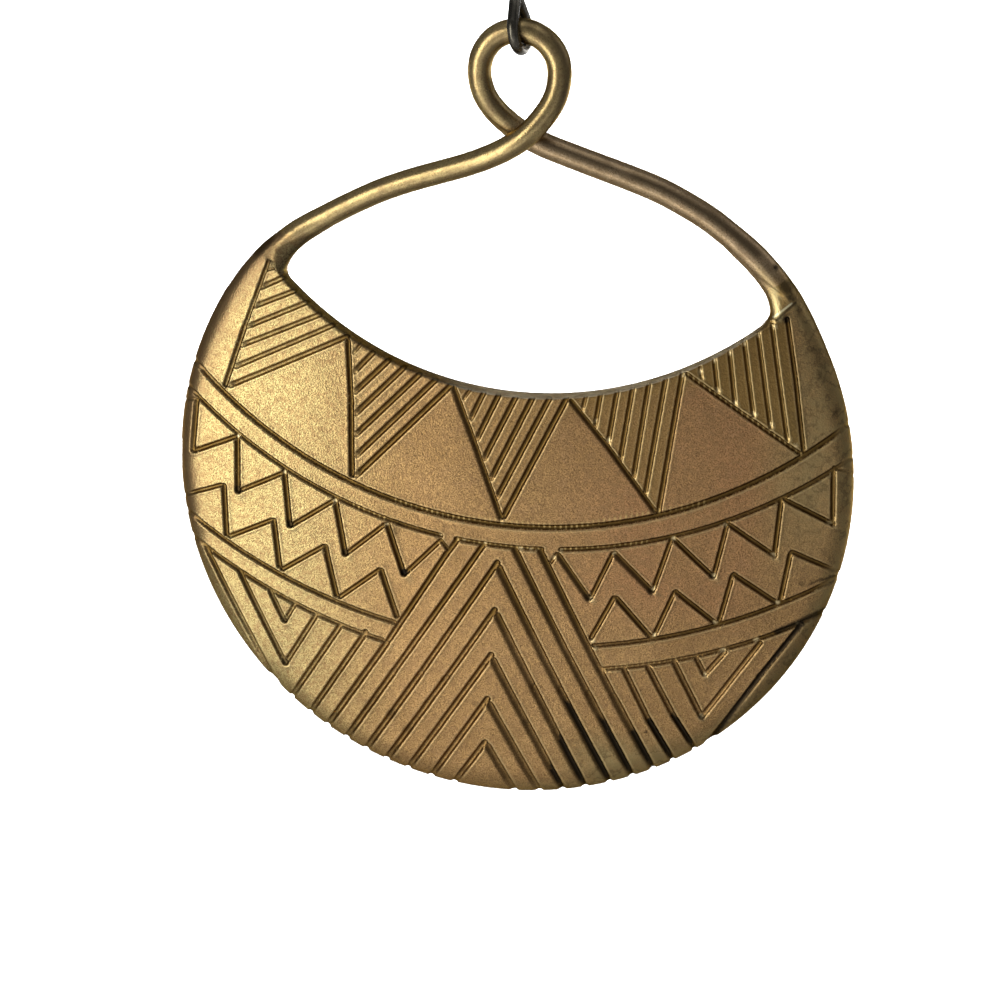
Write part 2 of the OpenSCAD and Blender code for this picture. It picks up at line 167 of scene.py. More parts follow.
# Dark spots of tarnish; the last one is painted shade on the left horn's shoulder. columns: x, z, radius, strength
SPOTS = [
    (-6.12, -6.50, 0.30, 1.0), (-13.75, -4.35, 0.28, 0.8), (-10.00, -5.70, 0.26, 0.8), (-17.33, -2.60, 0.28, 0.8),
    (-6.75, -3.70, 0.40, 0.4), (-13.85, -14.05, 0.22, 0.6), (-13.90, -11.05, 0.22, 0.6), (16.36, 12.02, 0.30, 0.9),
    (5.66, -6.75, 0.30, 0.6), (9.55, -5.98, 0.26, 0.6), (13.30, -4.60, 0.25, 0.6), (13.40, -14.50, 0.25, 0.7),
    (-6.60, -16.60, 0.45, 0.28), (-8.10, -16.30, 0.60, 0.20), (-5.55, -17.55, 0.45, 0.30), (2.20, -16.05, 0.25, 0.3),
    (9.98, -15.85, 0.12, 0.9), (-1.10, -15.05, 0.14, 0.5), (-6.10, -19.75, 0.22, 0.3),
    (19.40, 7.60, 0.18, 0.6), (18.60, 8.70, 0.14, 0.5), (18.90, 6.60, 0.14, 0.6), (19.90, 6.30, 0.20, 0.6),
    (17.10, 12.60, 0.16, 0.5), (18.20, 10.20, 0.14, 0.4), (-14.55, -11.50, 0.14, 0.4), (-11.10, -15.60, 0.14, 0.4),
    (-6.50, -3.30, 0.30, 0.3), (-2.80, -9.90, 0.14, 0.6), (-16.60, 13.40, 1.05, 0.55),
]
# Painted dark reflection: below this limit the floors of the lower right lines turn black. columns: x, z of the upper
# limit
BLACK_FROM = [(3.9, -18.4), (4.4, -17.6), (4.45, -14.1), (6.0, -14.6), (6.9, -15.1), (8.0, -15.7), (8.9, -15.9), (10.0, -14.9), (11.5, -14.4), (13.0, -15.6)]

# Lines wholly black. columns: start x, z, end x, z, half width, strength
BLACK_LINES = [
    (19.10, -7.50, 16.90, -11.10, 0.22, 1.0), (16.90, -11.10, 13.60, -16.90, 0.22, 1.0),
    (17.60, -8.10, 20.60, -6.40, 0.22, 0.9), (18.60, -5.00, 20.90, -4.10, 0.10, 0.7),
]
# Dark spots of the wire and its ends, placed the same way; the third and fourth are painted shade where the right
# wire's flank turns away at its end. columns: x, z, radius, strength
WIRE_SPOTS = [
    (15.42, 15.15, 0.20, 1.0), (-14.63, 14.50, 0.14, 0.8), (16.25, 14.00, 0.50, 0.55), (16.60, 13.40, 0.30, 0.4),
    (-0.90, 27.95, 0.55, 0.55), (-9.60, 18.40, 0.14, 0.5), (7.40, 19.90, 0.12, 0.5),
]
# Painted shade: dark bands along the wire where its round side turns away from the light. columns: from, to (row of
# BAIL), place round the section, half width, strength
WIRE_SHADE_BANDS = [
    (0.0, 8.5, 4.2, 1.7, 0.50), (9.0, 14.0, 3.4, 1.9, 0.68), (15.0, 21.5, 9.9, 1.8, 0.62),
    (21.5, 26.0, 9.3, 1.1, 0.66), (25.5, 33.0, 9.5, 1.2, 0.85),
]
# Stretches of line where the tool chattered and left beads. columns: start x, z, end x, z, half width
BEADS = [
    (-6.8, -1.75, -3.5, -2.30, 0.22), (-3.5, -2.30, 4.0, -2.22, 0.22), (4.0, -2.22, 12.5, 0.20, 0.22),
    (10.65, 8.25, 14.29, 6.00, 0.20), (14.29, 6.00, 18.05, 3.68, 0.20), (3.8, -3.70, 9.0, -2.70, 0.18),
    (-9.6, -2.45, -7.6, -3.05, 0.18), (-2.8, -3.78, 2.5, -3.80, 0.18), (7.0, -11.55, 12.0, -10.30, 0.18),
]
# Little heaps of metal where lines meet, their colour lightened as a painted highlight. columns: x, z, radius, height
BURRS = [
    (-3.80, -3.60, 0.16, 0.05), (-2.35, -3.75, 0.17, 0.05), (-1.00, -3.80, 0.17, 0.05), (0.00, -2.35, 0.16, 0.05),
    (1.25, -3.95, 0.20, 0.06), (1.90, -3.95, 0.14, 0.04), (3.40, -4.30, 0.20, 0.07), (3.80, -3.80, 0.16, 0.05),
    (5.95, -6.85, 0.22, 0.06), (6.35, -10.20, 0.20, 0.06), (7.12, -3.60, 0.20, 0.06), (10.76, -2.36, 0.20, 0.05),
    (13.82, -1.20, 0.18, 0.05), (13.45, -4.62, 0.22, 0.06), (16.95, -3.00, 0.22, 0.06), (9.75, -5.80, 0.22, 0.06),
    (20.20, -0.70, 0.20, 0.05), (6.20, -9.70, 0.20, 0.05), (10.00, -8.95, 0.20, 0.05), (13.75, -7.75, 0.22, 0.06),
    (17.50, -6.15, 0.20, 0.05), (16.35, -8.75, 0.26, 0.08), (14.35, -9.65, 0.26, 0.08), (13.35, -11.45, 0.18, 0.05),
    (13.30, -14.45, 0.22, 0.06), (18.85, -7.45, 0.22, 0.08), (10.48, 8.12, 0.18, 0.05), (11.50, 8.45, 0.20, 0.05),
    (12.25, 9.22, 0.18, 0.05), (13.15, 9.75, 0.20, 0.05), (13.95, 10.35, 0.18, 0.05), (14.75, 10.95, 0.18, 0.05),
    (12.65, 7.35, 0.19, 0.05), (13.80, 6.65, 0.19, 0.05), (15.00, 6.05, 0.19, 0.05), (16.10, 5.45, 0.19, 0.05),
    (6.25, 3.70, 0.18, 0.05), (17.70, 4.20, 0.18, 0.05), (-17.45, 0.95, 0.18, 0.05), (-14.25, -0.95, 0.18, 0.05),
    (-10.85, -2.35, 0.18, 0.05), (-7.40, -3.40, 0.18, 0.05), (15.70, 11.55, 0.18, 0.05), (5.35, 4.80, 0.16, 0.05),
]


def unit(v):
    return v / np.linalg.norm(v)


def length_of(v):
    return float(np.linalg.norm(v))


def mix(a, b, t):
    return a + (b - a) * t


def smooth(t):
    t = np.clip(t, 0, 1)
    return t * t * (3 - 2 * t)


def cubic(a, b, c, d, t):
    return 0.5 * (2 * b + (c - a) * t + (2 * a - 5 * b + 4 * c - d) * t * t + (3 * b - a - 3 * c + d) * t ** 3)


def along(tab, u):
    """Smooth curve through the rows of a table."""
    n = len(tab)
    i = int(min(n - 2, math.floor(u)))
    pick = lambda j: tab[max(0, min(n - 1, j))]
    return cubic(pick(i - 1), pick(i), pick(i + 1), pick(i + 2), u - i)


# ============================================================ base shape of the pendant
def bail_station(u):
    p = along(BAIL, u)
    d = along(BAIL, min(len(BAIL) - 1, u + 0.05)) - along(BAIL, max(0, u - 0.05))
    t = unit(d[:2])
    n = np.array([-t[1], t[0]])
    r = p[3] * BAIL_D / 2
    return [p[0] + n[0] * r, p[1] + n[1] * r, p[0] - n[0] * r, p[1] - n[1] * r, r, p[2], 0, 0]


def horn_station(h, y0, r0):
    return [h[0], h[1], h[2], h[3], mix(r0, HALF_T, h[4]), y0, h[4], h[5]]


def plate_station(f):
    a, b = math.radians(mix(24, -207, f)), math.radians(mix(-52.2, -129, f))
    return [OUTER_R * math.cos(a), OUTER_R * math.sin(a), OPEN_R * math.cos(b), OPEN_Z + OPEN_R * math.sin(b), HALF_T, 0, 1, 0]


Y_LEFT, Y_RIGHT = BAIL[0][2] + 0.12, BAIL[-1][2] + 0.03
coarse, steps = [], []
for i in range(90):
    coarse.append(bail_station(i / 3)); steps.append(2)
coarse.append(bail_station(30)); steps.append(6)
right_first = len(coarse)
for h in RIGHT_HORN:
    coarse.append(horn_station(h, Y_RIGHT, BAIL_D * 0.53)); steps.append(9)
for i in range(45):
    coarse.append(plate_station(i / 44)); steps.append(20 if i < 44 else 9)
left_first = len(coarse)
for h in LEFT_HORN[::-1]:
    coarse.append(horn_station(h, Y_LEFT, BAIL_D * 0.505)); steps.append(9)
coarse = np.array(coarse)
n_c = len(coarse)

fine, fine_at = [], {}
for i in range(n_c):
    fine_at[i] = len(fine)
    for s in range(steps[i]):
        st = cubic(coarse[i - 1], coarse[i], coarse[(i + 1) % n_c], coarse[(i + 2) % n_c], s / steps[i])
        st[6] = min(1, max(0, st[6]))
        fine.append(st)
fine = np.array(fine)
N = len(fine)
A, B = fine_at[right_first + 6], fine_at[left_first + 3]     # where the engraved front starts and ends
# the change from wire to plate runs softly
run = np.arange(N)
soft_zone = np.clip(np.minimum((run - fine_at[right_first] + 8) / 6, (A + 40 - run) / 6), 0, 1)
soft_zone = np.maximum(soft_zone, np.clip((run - B + 40) / 6, 0, 1) * np.clip((N - 1 - run) / 6, 0, 1))
for _ in range(45):
    fine[:, 4:8] += 0.5 * soft_zone[:, None] * ((np.roll(fine[:, 4:8], 1, 0) + np.roll(fine[:, 4:8], -1, 0)) / 2 - fine[:, 4:8])

fine[:, 6] = np.clip(fine[:, 6] / min(fine[A, 6], fine[B, 6]), 0, 1)

# places round a section: 0-3 wall and front corner, 3-11 front, 11-17 rolled
# edge, 17-19 edge's back part, 19-25 back, 25-28 back corner and wall
TAUS = np.array([0, 0.5, 1, 1.5, 2, 2.5] + list(range(3, 12)) + [11.5 + 0.5 * i for i in range(12)] + [17.5, 18, 18.5, 19, 21, 23, 25, 26, 27], float)
M = len(TAUS)
CREST, WIDEST = 6, 26


def plate_section(tau, w, b0):
    h = HALF_T
    rf, rb, m = min(RIM_W, 0.6 * w), min(0.45, 0.3 * w), 0.1 * h
    b = min(b0, 0.9 * (2 * w - rf) - EDGE_C)
    v = min(1, b / 0.4)
    x = np.interp(tau, [0, 1, 2, 3, 11], [-w, -w + 0.2 * b, -w + mix(0.3 * EDGE_C, b, v), -w + b + EDGE_C, w - rf])
    y = np.interp(tau, [0, 1, 2, 3, 11], [0, -mix(h - EDGE_C, 0.55 * h, v), -h + mix(0.3, 1, v) * EDGE_C, -h, -h])
    a = np.radians(90 * np.clip(tau / 3, 0, 1))             # set back, the edge is as round as the wire it ends
    k = tau < 3
    x = np.where(k, mix(x, -w + (b + EDGE_C) * (1 - np.cos(a)), v), x)
    y = np.where(k, mix(y, -h * np.sin(a), v), y)
    a = np.radians(90 * (tau - 11) / 6)
    k = (tau > 11) & (tau <= 17)
    x, y = np.where(k, w - rf + rf * np.sin(a), x), np.where(k, m - (h + m) * np.cos(a), y)
    a = np.radians(45 * (tau - 17))
    k = (tau > 17) & (tau <= 19)
    x, y = np.where(k, w - rb + rb * np.cos(a), x), np.where(k, m + (h - m) * np.sin(a), y)
    k = (tau > 19) & (tau <= 25)
    x, y = np.where(k, mix(w - rb, -w + BACK_C, (tau - 19) / 6), x), np.where(k, h, y)
    a = np.radians(45 * (tau - 25))
    k = (tau > 25) & (tau <= 27)
    x, y = np.where(k, -w + BACK_C - BACK_C * np.sin(a), x), np.where(k, h - BACK_C + BACK_C * np.cos(a), y)
    return x, y


rings = np.zeros((N, M, 3))
for i, s in enumerate(fine):
    o, n = s[:2], s[2:4]
    c, w, side = (o + n) / 2, np.linalg.norm(o - n) / 2, unit(o - n)
    ang = np.radians(180 + TAUS * 360 / 28)
    px, py = plate_section(TAUS, w, s[7])
    q0, q1 = mix(w * np.cos(ang), px, s[6]), mix(s[4] * np.sin(ang), py, s[6])
    x, z = c[0] + side[0] * q0, c[1] + side[1] * q0
    rings[i, :, 0], rings[i, :, 2] = x, z
    rings[i, :, 1] = mix(s[5], (x * x + z * z) / (2 * DOME_R), s[6]) + q1

ds = np.roll(rings, -1, 0) - np.roll(rings, 1, 0)
dt = np.roll(rings, -1, 1) - np.roll(rings, 1, 1)
normals = np.cross(ds, dt)
normals /= np.maximum(np.linalg.norm(normals, axis=2, keepdims=True), 1e-12)
centre = rings.mean(axis=1, keepdims=True)
turned = np.sum((rings - centre) * normals) < 0
if turned:
    normals = -normals


# ============================================================ depth of the engraving
strokes = []      # start, end, width, depth, soft side, run-out, closed start, closed end
for x0, z0, x1, z1, w, d, soft, out in LINES:
    strokes.append((np.array([x0, z0]), np.array([x1, z1]), w, d, soft, out))
for cx0, cz0, rad, xa, xb, w, d in ARCS:
    g0, g1 = math.asin((xa - cx0) / rad), math.asin((xb - cx0) / rad)
    n = int(rad * (g1 - g0) / 0.9) + 1
    p = [np.array([cx0 + rad * math.sin(mix(g0, g1, i / n)), cz0 - rad * math.cos(mix(g0, g1, i / n))]) for i in range(n + 1)]
    for a, b in zip(p[:-1], p[1:]):
        strokes.append((a, b, w, d, 0, 0))

LIP = 0.032
burrs = []        # little heaps of metal pushed up where a hatching line ends
for a, b, w, d, soft, out in strokes:
    if out:
        e = unit(b - a)
        side = np.array([e[1], -e[0]])
        if side[0] < 0:
            side = -side
        burrs.append((b + e * 0.02 + side * (w / 2 + 0.07), 0.13, 0.034))
    elif length_of(b - a) > 1.6 and a[1] < 5 and abs(b[1] - a[1]) > 1.2 and b[0] > -18 and b[1] > -13 and w < 0.45:
        low = b if b[1] < a[1] else a
        burrs.append((low + np.array([0.05 + w / 2, -w / 2]), 0.15, 0.050))
burrs += [(np.array([x0, z0]), r0, h0) for x0, z0, r0, h0 in BURRS]


def engrave(x, z):
    """Depth below the face and lip above it, in mm, and at each point the painted shade of the groove walls, from their
    steepness, and the painted highlight of the wall tops turned to the light.
    """
    deep, lip, wall, lit = np.zeros(len(x)), np.zeros(len(x)), np.zeros(len(x)), np.zeros(len(x))
    for a, b, w, d, soft, out in strokes:
        r = w / 2
        reach = 2.6 * r
        near = np.nonzero((x > min(a[0], b[0]) - reach) & (x < max(a[0], b[0]) + reach) & (z > min(a[1], b[1]) - reach) & (z < max(a[1], b[1]) + reach))[0]
        if not len(near):
            continue
        px, pz = x[near] - a[0], z[near] - a[1]
        e = b - a
        length = np.linalg.norm(e)
        e = e / length
        t = px * e[0] + pz * e[1]
        v = px * e[1] - pz * e[0]            # to the right of the line's way
        tc = np.clip(t, 0, length)
        dist = np.hypot(px - tc * e[0], pz - tc * e[1])
        u = dist / r * (1 + 0.05 * np.sin(9.1 * x[near] + 3.7) * np.sin(8.3 * z[near]))
        floor = np.full(len(near), 0.42)
        if soft:
            on = v * soft > 0
            u = np.where(on, u / (1.5 if abs(soft) == 1 else 1.12), u)
            floor = np.where(on, 0.12 if abs(soft) == 1 else 0.42, floor)
        f = 1 - smooth((u - floor) / (1.02 - floor))
        dd = d * (1 + 0.07 * np.sin(3.1 * x[near]) * np.sin(2.7 * z[near] + 1.0))
        if out:                               # the tool leaves the metal over a short slope
            dd = dd * (0.35 + 0.65 * smooth((length - tc + 0.10) / 0.55))
        deep_i = dd * f
        steep = np.clip(1 - np.abs((u - (floor + 1) / 2) / (0.62 * (1 - floor))), 0, 1)
        # how far the wall on this side of a groove turns to the key light, which comes from the left and a little above
        turned_to = -((px - tc * e[0]) * -0.95 + (pz - tc * e[1]) * 0.31) / np.maximum(dist, 1e-6)
        faces_light = smooth(1.2 * turned_to + 0.4)
        upper = 1 - smooth((deep_i / np.maximum(dd, 1e-6) - (0.46 if soft == -2 else 0.22)) / 0.30)      # only the top of a wall that faces the light gets the painted highlight
        # painted shade on the walls turned from the light and low on the others; painted highlight on the tops of the
        # walls turned to it
        wall_i = steep * (dd / 0.2) * (1 - 0.9 * faces_light * upper)
        better = deep_i > deep[near]
        wall[near] = np.where(better & (deep_i > 0.01), wall_i, wall[near])
        lit[near] = np.where(better & (deep_i > 0.01), np.clip(1.4 * steep, 0, 1) * faces_light * upper, lit[near])
        deep[near] = np.maximum(deep[near], deep_i)
        bump = smooth((u - 0.84) / 0.36) * (1 - smooth((u - 1.20) / 0.62))
        bump = bump * mix(0.30, 1.0, smooth(0.8 * turned_to + 0.5))      # more metal is pushed up on the far side
        if abs(soft) == 1:
            bump = np.where(v * soft > 0, 0, bump)
        lip[near] = np.maximum(lip[near], LIP * bump * min(1, d / 0.16))
    for at, r, h in burrs:
        near = np.nonzero((np.abs(x - at[0]) < r) & (np.abs(z - at[1]) < r))[0]
        q = np.hypot(x[near] - at[0], z[near] - at[1]) / r
        lip[near] = np.maximum(lip[near], h * (1 - smooth(q)))
    lip = lip * np.clip(1 - deep / 0.03, 0, 1)
    return deep, lip, wall, lit


def unevenness(x, z):
    """Slight waves of a surface finished by hand."""
    return 0.010 * np.sin(0.9 * x + 0.5 * z + 1.0) * np.sin(0.6 * z - 0.4 * x) + 0.006 * np.sin(2.1 * x + 0.4) * np.sin(1.7 * z + 1.3 * x)


def seen_at(p):
    """Where a point of the surface shows on the front face's own plane, looked at from the photo's side."""
    fall = p[:, 1] - ((p[:, 0] ** 2 + p[:, 2] ** 2) / (2 * DOME_R) - HALF_T)
    return p[:, 0] + 0.140 * fall, p[:, 2] + 0.316 * fall


def rim_fall(x, z):
    q = np.clip(OUTER_R - np.hypot(x, z), 0, RIM_W)
    return HALF_T * 1.1 * (1 - np.sqrt(np.clip(1 - (1 - q / RIM_W) ** 2, 0, 1)))


# ============================================================ engraved front: points, then triangles
loop = [(i, CREST) for i in range(A, B + 1)] + [(B, t) for t in range(CREST + 1, WIDEST)]
loop += [(i, WIDEST) for i in range(B, A - 1, -1)] + [(A, t) for t in range(WIDEST - 1, CREST, -1)]
cell = 0.035
taken = {}


def free(x, z, r):
    """True if no earlier point lies within r; keeps the point then."""
    n = int(math.ceil(r / cell))
    cx, cz = int(math.floor(x / cell)), int(math.floor(z / cell))
    for i in range(cx - n, cx + n + 1):
        for j in range(cz - n, cz + n + 1):
            q = taken.get((i, j))
            if q is not None and (q[0] - x) ** 2 + (q[1] - z) ** 2 < r * r:
                return False
    taken[(cx, cz)] = (x, z)
    return True


front_tris = []
for i in range(A, B):
    for t in range(CREST, WIDEST):
        a, b, c, d = i * M + t, i * M + t + 1, (i + 1) * M + t + 1, (i + 1) * M + t
        front_tris += [(a, b, c), (a, c, d)]
flat = rings.reshape(-1, 3)
flat_n = normals.reshape(-1, 3)
tree = BVHTree.FromPolygons([Vector(p) for p in flat], front_tris)

for i, t in loop:
    p = rings[i, t]
    taken[(int(math.floor(p[0] / cell)), int(math.floor(p[2] / cell)))] = (p[0], p[2])

inner = []        # x, z of points inside the front
for t, every in ((25, 1), (24, 1), (23, 1), (22, 2), (21, 2), (20, 3), (19, 4), (18, 5), (16, 5)):
    for i in range(A + 1, B, every):
        p = rings[i, t]
        if free(p[0], p[2], 0.012 if t > 23 else 0.03):
            inner.append((p[0], p[2]))

ROWS = (0.0, 0.42, -0.42, 0.72, -0.72, 0.98, -0.98, 1.28, -1.28, 1.7, -1.7, 2.35, -2.35)
want = []
for a, b, w, d, soft, out in strokes:
    e = b - a
    length = np.linalg.norm(e)
    e = e / length
    side = np.array([e[1], -e[0]])
    n = max(1, int(length / 0.17 + 0.5))
    for row in ROWS:
        off = row * w / 2 * (1 if row * soft <= 0 else 1.5 if abs(soft) == 1 else 1.12)
        for s in range(n + 1):
            want.append(a + e * (length * s / n) + side * off)
    for end, way in ((a, -1), (b, 1)):
        for rr in (0.42, 0.72, 0.98, 1.28, 1.7):
            for g in (-67, -45, -22, 0, 22, 45, 67):
                want.append(end + w / 2 * rr * (way * e * math.cos(math.radians(g)) + side * math.sin(math.radians(g))))
want = np.array(want)
x, z = want[:, 0].copy(), want[:, 1].copy()
for _ in range(4):                            # from where it shows to where it is
    fall = rim_fall(x, z)
    x, z = want[:, 0] - 0.140 * fall, want[:, 1] - 0.316 * fall
for bx, r0, h in burrs:
    for g in range(0, 360, 45):
        x, z = np.append(x, bx[0] + 0.6 * r0 * math.cos(math.radians(g))), np.append(z, bx[1] + 0.6 * r0 * math.sin(math.radians(g)))
    x, z = np.append(x, bx[0]), np.append(z, bx[1])
for px, pz in zip(x, z):
    if px * px + pz * pz > 22.2 ** 2 or math.hypot(px, pz - OPEN_Z) < OPEN_R - 1.6 and abs(px) < 14:
        continue
    if free(px, pz, 0.034):
        inner.append((px, pz))
grid = 0.54
for i in range(-46, 47):
    for j in range(-46, 32):
        px = (i + 0.5 * (j % 2)) * grid + rng.uniform(-0.06, 0.06)
        pz = j * grid * 0.9 + rng.uniform(-0.06, 0.06)
        if math.hypot(px, pz) < 21.6 and free(px, pz, 0.13):
            inner.append((px, pz))

# onto the base surface; what misses it is outside
verts2d, home, base, base_n = [], [], [], []
for px, pz in inner:
    hit, nrm, face, dist = tree.ray_cast(Vector((px, -60, pz)), Vector((0, 1, 0)))
    if hit is None:
        continue
    ids = front_tris[face]
    tri = flat[list(ids)]
    v0, v1, v2 = tri[1] - tri[0], tri[2] - tri[0], np.array(hit) - tri[0]
    d00, d01, d11, d20, d21 = v0 @ v0, v0 @ v1, v1 @ v1, v2 @ v0, v2 @ v1
    den = d00 * d11 - d01 * d01
    if abs(den) < 1e-14:
        continue
    b1, b2 = (d11 * d20 - d01 * d21) / den, (d00 * d21 - d01 * d20) / den
    nn = (1 - b1 - b2) * flat_n[ids[0]] + b1 * flat_n[ids[1]] + b2 * flat_n[ids[2]]
    verts2d.append(Vector((px, pz)))
    base.append(np.array(hit))
    base_n.append(unit(nn))
n_inner = len(verts2d)
for i, t in loop:
    verts2d.append(Vector((rings[i, t, 0], rings[i, t, 2])))
edge_ids = list(range(n_inner, n_inner + len(loop)))
out_v, out_e, out_f, orig_v, _, _ = geometry.delaunay_2d_cdt(verts2d, [], [edge_ids], 1, 1e-6)

# ---- all vertices of the pendant: loft first, then the points inside the front
base, base_n = np.array(base), np.array(base_n)
points = np.concatenate([flat, base])
point_n = np.concatenate([flat_n, base_n])
n_flat = len(flat)
tau_of = np.concatenate([np.tile(TAUS, N), np.full(len(base), 8.0)])
station = np.concatenate([np.repeat(np.arange(N), M), np.full(len(base), (A + B) // 2)])
sx, sz = seen_at(points)
deep, lip, wall, lit = engrave(sx, sz)
engraved = (station >= A) & (station <= B) & ((tau_of <= 19) | (station < 0))
share = np.interp(tau_of, [0, 0.5, 1, 17, 17.5, 18, 18.5, 19], [0, 1, 1, 1, 0.85, 0.6, 0.3, 0.0])
share = np.where(engraved, share, 0)
ends = np.minimum(smooth((station - A) / 4.0), smooth((B - station) / 4.0))
share = share * np.where(np.arange(len(points)) < n_flat, ends, 1)
away = np.hypot(points[:, 0], points[:, 2])                  # shallow where lines run out over the sides, full at the bottom
share = share * mix(1, mix(0.30, 0.62, smooth((-points[:, 2] - 7.0) / 8.0)), smooth((away - 20.4) / 0.8))
deep, lip, wall = deep * share, lip * share * (1 - smooth((away - 20.6) / 0.7)), wall * share
way = -point_n.copy()
corner = (tau_of < 3) & (np.arange(len(points)) < n_flat)
way[corner] = (0, 1, 0)
waves = unevenness(points[:, 0], points[:, 2]) * (1 - smooth((points[:, 2] - 8) / 3)) * np.where((tau_of > 19) | (tau_of < 1), 0, 1)
waves = waves * smooth((OUTER_R - 0.3 - np.hypot(points[:, 0], points[:, 2])) / 2)
moved = points + way * (deep - lip + waves)[:, None]

index = {}
for k, src in enumerate(orig_v):
    if not src:
        index[k] = None
        continue
    s = min(src) if min(src) < n_inner else src[0]
    if any(q >= n_inner for q in src):
        s = [q for q in src if q >= n_inner][0]
        i, t = loop[s - n_inner]
        index[k] = i * M + t
    else:
        index[k] = n_flat + s
faces = []
for f in out_f:
    ids = [index[k] for k in f]
    if None in ids or len(set(ids)) < 3:
        continue
    a, b, c = [Vector(out_v[k]) for k in f[:3]]
    if (b - a).cross(c - a) > 0:              # seen from -y, x right and z up
        faces.append(tuple(ids))
    else:
        faces.append(tuple(reversed(ids)))
for i in range(N):
    i2 = (i + 1) % N
    for t in range(M):
        if A <= i < B and CREST <= t < WIDEST:
            continue
        t2 = (t + 1) % M
        quad = (i * M + t, i * M + t2, i2 * M + t2, i2 * M + t)
        faces.append(quad if turned else quad[::-1])

# ---- the two frames: pendant's own (mm) to the row (m)
carry = BAIL_D * 1.03 / 2 + HOOK_D / 2 + EYE_GAP
turn = math.radians(HOOK_TURN)
lean = math.radians(EYE_LEAN)
tip_z = -BOW_R - SHANK_L
ph = (EYE_UP * math.sin(lean), -BOW_R, tip_z - EYE_UP * math.cos(lean))
pivot = np.array([ph[0] * math.cos(turn) + ph[1] * math.sin(turn), -ph[0] * math.sin(turn) + ph[1] * math.cos(turn), ph[2]])
pr = along(BAIL, TOP_ROW)
pivot_own = np.array([pr[0], pr[2], pr[1]])
tilt = math.radians(HANG_TILT)
ROT = np.array([[math.cos(tilt), 0, math.sin(tilt)], [0, 1, 0], [-math.sin(tilt), 0, math.cos(tilt)]])


def to_row(p):
    return ((np.asarray(p) - pivot_own) @ ROT.T + pivot) * 0.001


def make(name, verts, polys):
    me = bpy.data.meshes.new(name)
    me.from_pydata([tuple(v) for v in verts], [], polys)
    me.validate()
    me.update()
    ob = bpy.data.objects.new(name, me)
    bpy.context.scene.collection.objects.link(ob)
    for p in me.polygons:
        p.use_smooth = True
    return ob


def keep_used(verts, polys, *arrays):
    used = np.zeros(len(verts), bool)
    for f in polys:
        for q in f:
            used[q] = True
    new = np.cumsum(used) - 1
    return (verts[used], [tuple(int(new[q]) for q in f) for f in polys]) + tuple(a[used] for a in arrays)


# ---- tone, tarnish, painted shade and painted highlight of each point
on_wire = fine[np.minimum(station, N - 1), 6] < 0.5
on_wire = on_wire & (np.arange(len(points)) < n_flat)
is_loft = np.arange(len(points)) < n_flat
tarnish_and_shade = np.zeros(len(points))
for x0, z0, r0, k0 in SPOTS:
    q = np.hypot(sx - x0, sz - z0) / r0
    tarnish_and_shade = np.maximum(tarnish_and_shade, k0 * (1 - smooth((q - 0.55) / 0.6)) * (~on_wire) * np.clip((19 - tau_of) / 2, 0, 1))
is_front = np.clip((19 - tau_of) / 2, 0, 1)
limit = np.interp(sx, [r[0] for r in BLACK_FROM], [r[1] for r in BLACK_FROM], left=-99, right=-16.5)
for x0, z0, r0, k0 in WIRE_SPOTS:
    q = np.hypot(sx - x0, sz - z0) / r0
    tarnish_and_shade = np.maximum(tarnish_and_shade, k0 * (1 - smooth((q - 0.5) / 0.7)) * (tau_of > 1) * (tau_of < 17) * is_loft)
# painted dark reflection in the groove floors below BLACK_FROM's limit, and the lines wholly black
black = smooth((limit - sz) / 0.25 + 0.5) * smooth((deep - 0.05) / 0.09)
for x0, z0, x1, z1, half_w, k0 in BLACK_LINES:
    q = np.clip(((sx - x0) * (x1 - x0) + (sz - z0) * (z1 - z0)) / ((x1 - x0) ** 2 + (z1 - z0) ** 2), 0, 1)
    q = np.hypot(sx - x0 - q * (x1 - x0), sz - z0 - q * (z1 - z0)) / half_w
    black = np.maximum(black, k0 * (1 - smooth((q - 0.6) / 0.6)) * (~on_wire) * is_front)
tarnish_and_shade = np.maximum(tarnish_and_shade, 0.95 * black)
front = is_front
set_back = np.where(is_loft, fine[np.minimum(station, N - 1), 7], 0)
# painted shade on the opening's inner wall and back corner, mostly on the left, on the chamfer along its edge on the
# left, and on the left horn's neck
opening_shade = np.interp(tau_of, [0, 1, 2, 2.6, 3, 25, 26, 28], [0.60, 0.60, 0.55, 0.25, 0, 0, 0.45, 0.60])
opening_shade = opening_shade * mix(1.0, 0.04, smooth((sx + 5) / 5)) * is_loft * (~on_wire) * np.where(sx > 0, 1 - smooth(set_back / 0.5), 1)
neck_shade = 0.62 * smooth((-sx - 11.2) / 2.2) * smooth((sz - 11) / 1.0) * np.interp(tau_of, [0, 2.5, 5.0, 22, 25, 28], [1, 1, 0, 0, 0.8, 1]) * is_loft
opening_shade = np.maximum(opening_shade, neck_shade)
from_open = np.hypot(points[:, 0], points[:, 2] - OPEN_Z) - OPEN_R
edge_shade = 0.60 * (1 - smooth((from_open - 0.02) / 0.16)) * smooth((-4 - sx) / 6) * is_front * (~on_wire) * smooth((from_open + 0.3) / 0.1)
opening_shade = np.maximum(opening_shade, edge_shade)
tarnish_and_shade = np.maximum(tarnish_and_shade, opening_shade)
